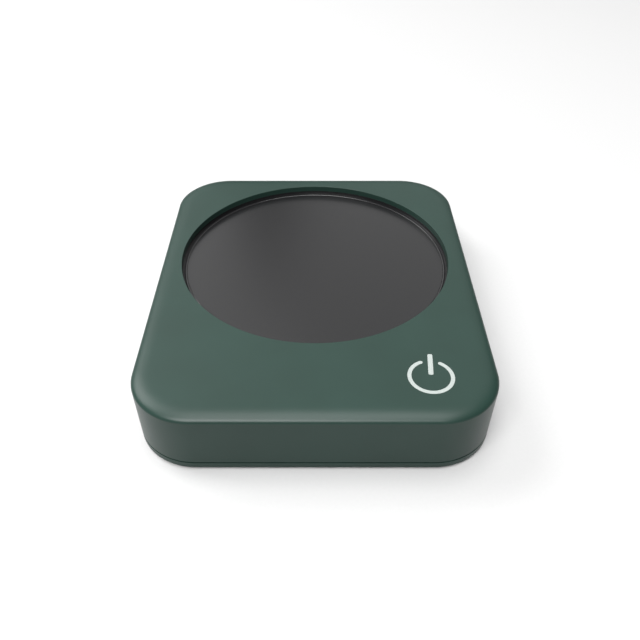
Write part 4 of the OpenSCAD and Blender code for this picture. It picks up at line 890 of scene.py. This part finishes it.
# The capacitor's can stands in a dark blue shrink sleeve, which leaves its scored aluminium top bare
can_low, can_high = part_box("filter_capacitor")
can_at, can_top = ((can_low.x + can_high.x) / 2, (can_low.y + can_high.y) / 2), can_high.z
can_r, can_foot_r, can_edge, can_sides = 3.15 * mm, 3.4 * mm, 0.25 * mm, 64
can = turned("capacitor_sleeve", [
    (can_foot_r, board_z), (can_foot_r, board_z + 0.8 * mm), (can_r, board_z + 1.2 * mm),
    (can_r - can_edge, board_z + 1.6 * mm), (can_r, board_z + 2 * mm), (can_r, can_top - can_edge),
    (can_r - 0.07 * mm, can_top - 0.07 * mm), (can_r - can_edge, can_top), (0.72 * can_r, can_top),
    (0.7 * can_r, can_top - 0.24 * mm)
], can_at, can_sides)
shade(can, 40)
blue_sleeve = surface("blue_shrink_sleeve", ("#19233f", "#1f2c4c"), {"IOR": 1.53, "Roughness": 0.28},
                      clouds=(2 * mm, 3))
finished(can, blue_sleeve, "can_sleeve", "filter_capacitor")
vent = turned("capacitor_top", [(0.69 * can_r, can_top - 0.4 * mm), (0.69 * can_r, can_top - 0.2 * mm)], can_at,
              can_sides)
for turn in (0, math.pi / 2):
    score = brick("score", in_mm(-1.6, -0.1, -0.3), in_mm(1.6, 0.1, 0.3), turn=turn)
    combine(vent, "DIFFERENCE", shift(score, (*can_at, can_top)))
finished(vent, rolled_aluminium, "aluminium", "filter_capacitor")

# Chip resistors: a black-coated ceramic body between two tinned caps
chip_spots = [on_board(x, y) for x, y in (
    (-7, 3.4), (-3.6, 3.4), (-0.2, 3.4), (3.4, 8.4), (3.4, 11.4), (-11.5, 14.2), (-1, 14.2), (9, 13))]
resistor = brick("resistor", in_mm(-0.65, -0.6, 0.02), in_mm(0.65, 0.6, 0.5))
finished(copies(resistor, "resistor_bodies", chip_spots), black_epoxy, "black_plastic", "chip_resistors")
caps = join("cap", brick("cap", in_mm(-1, -0.625, 0), in_mm(-0.65, 0.625, 0.54), 0.08 * mm),
            brick("cap", in_mm(0.65, -0.625, 0), in_mm(1, 0.625, 0.54), 0.08 * mm))
finished(copies(caps, "resistor_caps", chip_spots), tinned_copper, "steel", "chip_resistors")

# The key's lamp, the light box round it, and the spring that carries the touch up to the light guide
lamp_place = (*key_at, board_z)
lamp = brick("lamp_case", in_mm(-1.75, -1.4, 0), in_mm(1.75, 1.4, 1.4), 0.15 * mm)
finished(shift(lamp, lamp_place), milky_polycarbonate, "light_guide", "key_led")
lens = turned("lamp_lens", [
    in_mm(1.1, 1.4), in_mm(1.06, 1.6), in_mm(0.93, 1.78), in_mm(0.7, 1.91), in_mm(0.4, 1.98)], sides=32)
finished(shift(lens, lamp_place), clear_silicone, "light_guide", "key_led")
shade(lens, 60)
box_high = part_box("light_box")[1]
box_out, box_top, box_edge = box_high.x - key_at[0], box_high.z, 0.2 * mm
box_in = box_out - 1 * mm
light_box = turned("light_baffle", [
    (box_in, board_z), (box_out, board_z), (box_out, box_top - box_edge), (box_out - box_edge, box_top),
    (box_in + box_edge, box_top), (box_in, box_top - box_edge)], key_at, 96, closed=True)
shade(light_box)
finished(light_box, black_pbt, "black_plastic", "light_box")


def smooth(points, steps=6):
    """A smooth curve through a few points."""
    curve = []
    for i in range(len(points) - 1):
        a, b = points[max(i - 1, 0)], points[i]
        c, d = points[i + 1], points[min(i + 2, len(points) - 1)]
        for k in range(steps):
            t = k / steps
            curve.append(0.5 * (2 * b + (c - a) * t + (2 * a - 5 * b + 4 * c - d) * t ** 2
                                + (3 * b - a - 3 * c + d) * t ** 3))
    return curve + [points[-1]]


def tube(name, points, radius, resolution=3):
    """A round tube along some points, closed at both ends."""
    path = bpy.data.curves.new(name, "CURVE")
    path.dimensions = "3D"
    path.bevel_depth, path.bevel_resolution, path.use_fill_caps = radius, resolution, True
    line = path.splines.new("POLY")
    line.points.add(len(points) - 1)
    for point, place in zip(line.points, points):
        point.co = (*place, 1.0)
    piece = bpy.data.objects.new(name, path)
    bpy.context.scene.collection.objects.link(piece)
    take(piece)
    bpy.ops.object.convert(target="MESH")
    bpy.ops.object.mode_set(mode="EDIT")
    piece = close_up()
    shade(piece, 50)
    return piece


# The spring's end turns lie flat, and the turns between them rise
coil_r, coil_wire, coil_turns, coil_flat, coil_steps = 5.2 * mm, 0.35 * mm, 6, 0.8, 28
coil_rise = guide_z - board_z - 2 * coil_wire
coil = []
for k in range(coil_turns * coil_steps + 1):
    turns = k / coil_steps
    share = min(max((turns - coil_flat) / (coil_turns - 2 * coil_flat), 0), 1)
    coil.append(Vector((*around(math.tau * turns, coil_r, key_at), board_z + coil_wire + coil_rise * share)))
finished(tube("touch_coil", coil, coil_wire, 2), zinc_plated_steel, "steel", "touch_spring")


# ---------- Headers and plugs ----------
# Three two-way crimp connectors of natural nylon along the board's back edge: supply, heater and sensor. The
# headers' pins are tinned.
header_wall, latch_half, latch_long = in_mm(0.8, 1, 2.5)
pin_run, pin_half, pin_reach = in_mm(1, 0.25, 4.4)
# Unfilled nylon: cream, softly shining, and a little translucent
natural_nylon = surface("natural_nylon", ("#dcd6c2", "#e6e1d0"), {
    "IOR": 1.53, "Roughness": 0.42, "Subsurface Weight": 0.1, "Subsurface Radius": (1 * mm, 1 * mm, 0.8 * mm),
    "Subsurface Scale": 0.5}, clouds=(2 * mm, 2))
for use in ("supply", "heater", "sensor"):
    low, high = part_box(use + "_header")
    middle_x, middle_z, back_y = (low.x + high.x) / 2, (low.z + high.z) / 2, low.y + 2 * header_wall
    header = brick(use + "_shroud", low, high)
    combine(header, "DIFFERENCE",
            brick("cavity", (low.x + header_wall, back_y, low.z + header_wall),
                  (high.x - header_wall, high.y + past, high.z - header_wall)),
            brick("latch", (middle_x - latch_half, high.y - latch_long, high.z - 0.5 * header_wall),
                  (middle_x + latch_half, high.y + past, high.z + past)))
    ease(header, 0.1 * mm)
    shade(header)
    finished(header, natural_nylon, "cream_nylon", use + "_header")
    pins = []
    for x in (middle_x - pin_run, middle_x + pin_run):
        pins.append(brick("pin", (x - pin_half, back_y - 0.01 * mm, middle_z - pin_half),
                          (x + pin_half, back_y + pin_reach, middle_z + pin_half)))
    finished(join(use + "_pins", *pins), tinned_copper, "plated_brass", use + "_header")
    dress(use + "_plug", natural_nylon, 0.15 * mm)


# ---------- Wires ----------
# The supply pair in red and black PVC lies in a lane between pegs on the floor, the heater's wires have white
# glass braid for the heat, and the sensor's pair is thin black PVC. Each is crimped in its plug.
def wire(start, start_way, route, end, end_way):
    """The points of a wire between two ends, by a route in millimetres. A short straight stub at each end makes
    it meet its piece squarely."""
    first, last = Vector(start) + start_way * mm, Vector(end) + end_way * mm
    return [Vector(start)] + smooth([first] + [Vector(p) * mm for p in route] + [last]) + [Vector(end)]


def crimp_at(use, side):
    """The place of a plug's crimp, on its back face."""
    low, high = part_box(use + "_plug")
    return ((low.x + high.x) / 2 + side * pin_run, high.y, (low.z + high.z) / 2)


plus_route = [(-1, 46, 7.8), (-7, 42, 6.2), (-17, 38, 4.6), (-22.6, 33, 4.1), (-23, 27, 4), (-23, 4, 4),
              (-23, -20, 4), (-23, -28, 5), (-23, -32, 8.4)]
minus_route = [(-1.5, 46.5, 4.3), (-9, 44, 4.2), (-19, 42, 4.1), (-24.4, 36, 4), (-25, 28, 4), (-25, 4, 4),
               (-25, -20, 4), (-25, -28, 5), (-25, -32, 8.4)]
element_route = [(-6.4, -30, 9.6), (-5.5, -26, 9.4)]
fuse_in_route = [(-10, -30, 8), (-14, -21, 6.6), (-14, -12, 7.4), (-11.5, -7.8, 8.4)]
fuse_out_route = [(12.5, -8.4, 8.2), (13.5, -14, 7.2), (10, -22, 6.8), (3, -26, 7.6), (0.4, -25, 10)]
sensor_routes = [
    [(-0.4, 6.6, 9.6), (7, 4, 7.6), (15, -1, 7.2), (16.2, -14, 7.2), (14, -26, 7.8), (7.4, -31, 9.4)],
    [(1.2, 7.2, 9.8), (8.4, 5.6, 7.6), (16.4, 0, 7.2), (17.6, -14, 7.2), (15.6, -26.6, 7.8), (9, -31.4, 9.4)]]
supply_r, heater_r, sensor_r, sensor_half = in_mm(0.7, 0.65, 0.45, 0.8)
to_left, to_right, to_back = Vector((-1, 0, 0)), Vector((1, 0, 0)), Vector((0, 1, 0))
to_front, down = Vector((0, -1, 0)), Vector((0, 0, -1))
track_z, solder_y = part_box("heater_track")[0].z, well_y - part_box("heater_film")[1].x + 4 * mm
contact_z, sensor_y, sensor_z = contact_low.z + 0.3 * mm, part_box("thermistor")[0].y, clamp_z + 1.2 * mm

# Extruded PVC: smooth and fairly glossy, with a faint unevenness of the extruder
red_pvc, black_pvc = [surface(name, colour, {"IOR": 1.53}, grain=(1.5 * mm, 2), shine=(0.28, 0.4))
                      for name, colour in (("red_pvc", "#9c1414"), ("black_pvc", "#1a1a1b"))]
plus = wire((0, pin_low.y, bore_z), to_front, plus_route, crimp_at("supply", 1), to_back)
minus = wire((0, pin_low.y, contact_z), to_front, minus_route, crimp_at("supply", -1), to_back)
finished(tube("red_supply_wire", plus, supply_r), red_pvc, "supply_insulation", "supply_wires")
finished(tube("black_supply_wire", minus, supply_r), black_pvc, "supply_insulation", "supply_wires")

# Braided glass yarn: two sets of diagonal strands, 0.6 mm apart, that cross
glass_braid = new_material("white_glass_braid")
braid_place = add(glass_braid, "ShaderNodeTexCoord")
braid_one = add(glass_braid, "ShaderNodeTexWave", {"Scale": 1 / (0.6 * mm), "bands_direction": "DIAGONAL"},
                {"Vector": braid_place.outputs["Object"]})
braid_turn = add(glass_braid, "ShaderNodeMapping", {"Scale": (-1, 1, 1)}, {"Vector": braid_place.outputs["Object"]})
braid_two = add(glass_braid, "ShaderNodeTexWave", {"Scale": 1 / (0.6 * mm), "bands_direction": "DIAGONAL"},
                {"Vector": braid_turn.outputs["Vector"]})
braid_weave = add(glass_braid, "ShaderNodeMath", {"operation": "MAXIMUM"},
                  {0: braid_one.outputs["Fac"], 1: braid_two.outputs["Fac"]})
braid_tone = add(glass_braid, "ShaderNodeValToRGB", links={"Fac": braid_weave.outputs["Value"]})
braid_tone.color_ramp.elements[0].color = linear("#b9b9b4")
braid_tone.color_ramp.elements[1].color = linear("#e4e4df")
braid_bump = add(glass_braid, "ShaderNodeBump", {"Strength": 0.5, "Distance": 0.08 * mm},
                 {"Height": braid_weave.outputs["Value"]})
braid_shader = add(glass_braid, "ShaderNodeBsdfPrincipled", {"Roughness": 0.75, "Sheen Weight": 0.2},
                   {"Base Color": braid_tone.outputs["Color"], "Normal": braid_bump.outputs["Normal"]})
add(glass_braid, "ShaderNodeOutputMaterial", links={"Surface": braid_shader.outputs["BSDF"]})
heater_lines = (
    wire(crimp_at("heater", 1), to_back, element_route, (-5.3 * mm, solder_y, track_z), down),
    wire(crimp_at("heater", -1), to_back, fuse_in_route, (fuse_low.x, fuse_y, fuse_z), to_left),
    wire((fuse_high.x, fuse_y, fuse_z), to_right, fuse_out_route, (0, solder_y, track_z), down))
finished(join("heater_leads", *[tube("lead", points, heater_r) for points in heater_lines]), glass_braid,
         "heater_insulation", "heater_wires")

sensor_lines = [
    wire((side * sensor_half, sensor_y, sensor_z), to_front, route, crimp_at("sensor", side), to_back)
    for side, route in zip((-1, 1), sensor_routes)]
finished(join("sensor_leads", *[tube("lead", points, sensor_r) for points in sensor_lines]), black_pvc,
         "sensor_insulation", "sensor_wires")
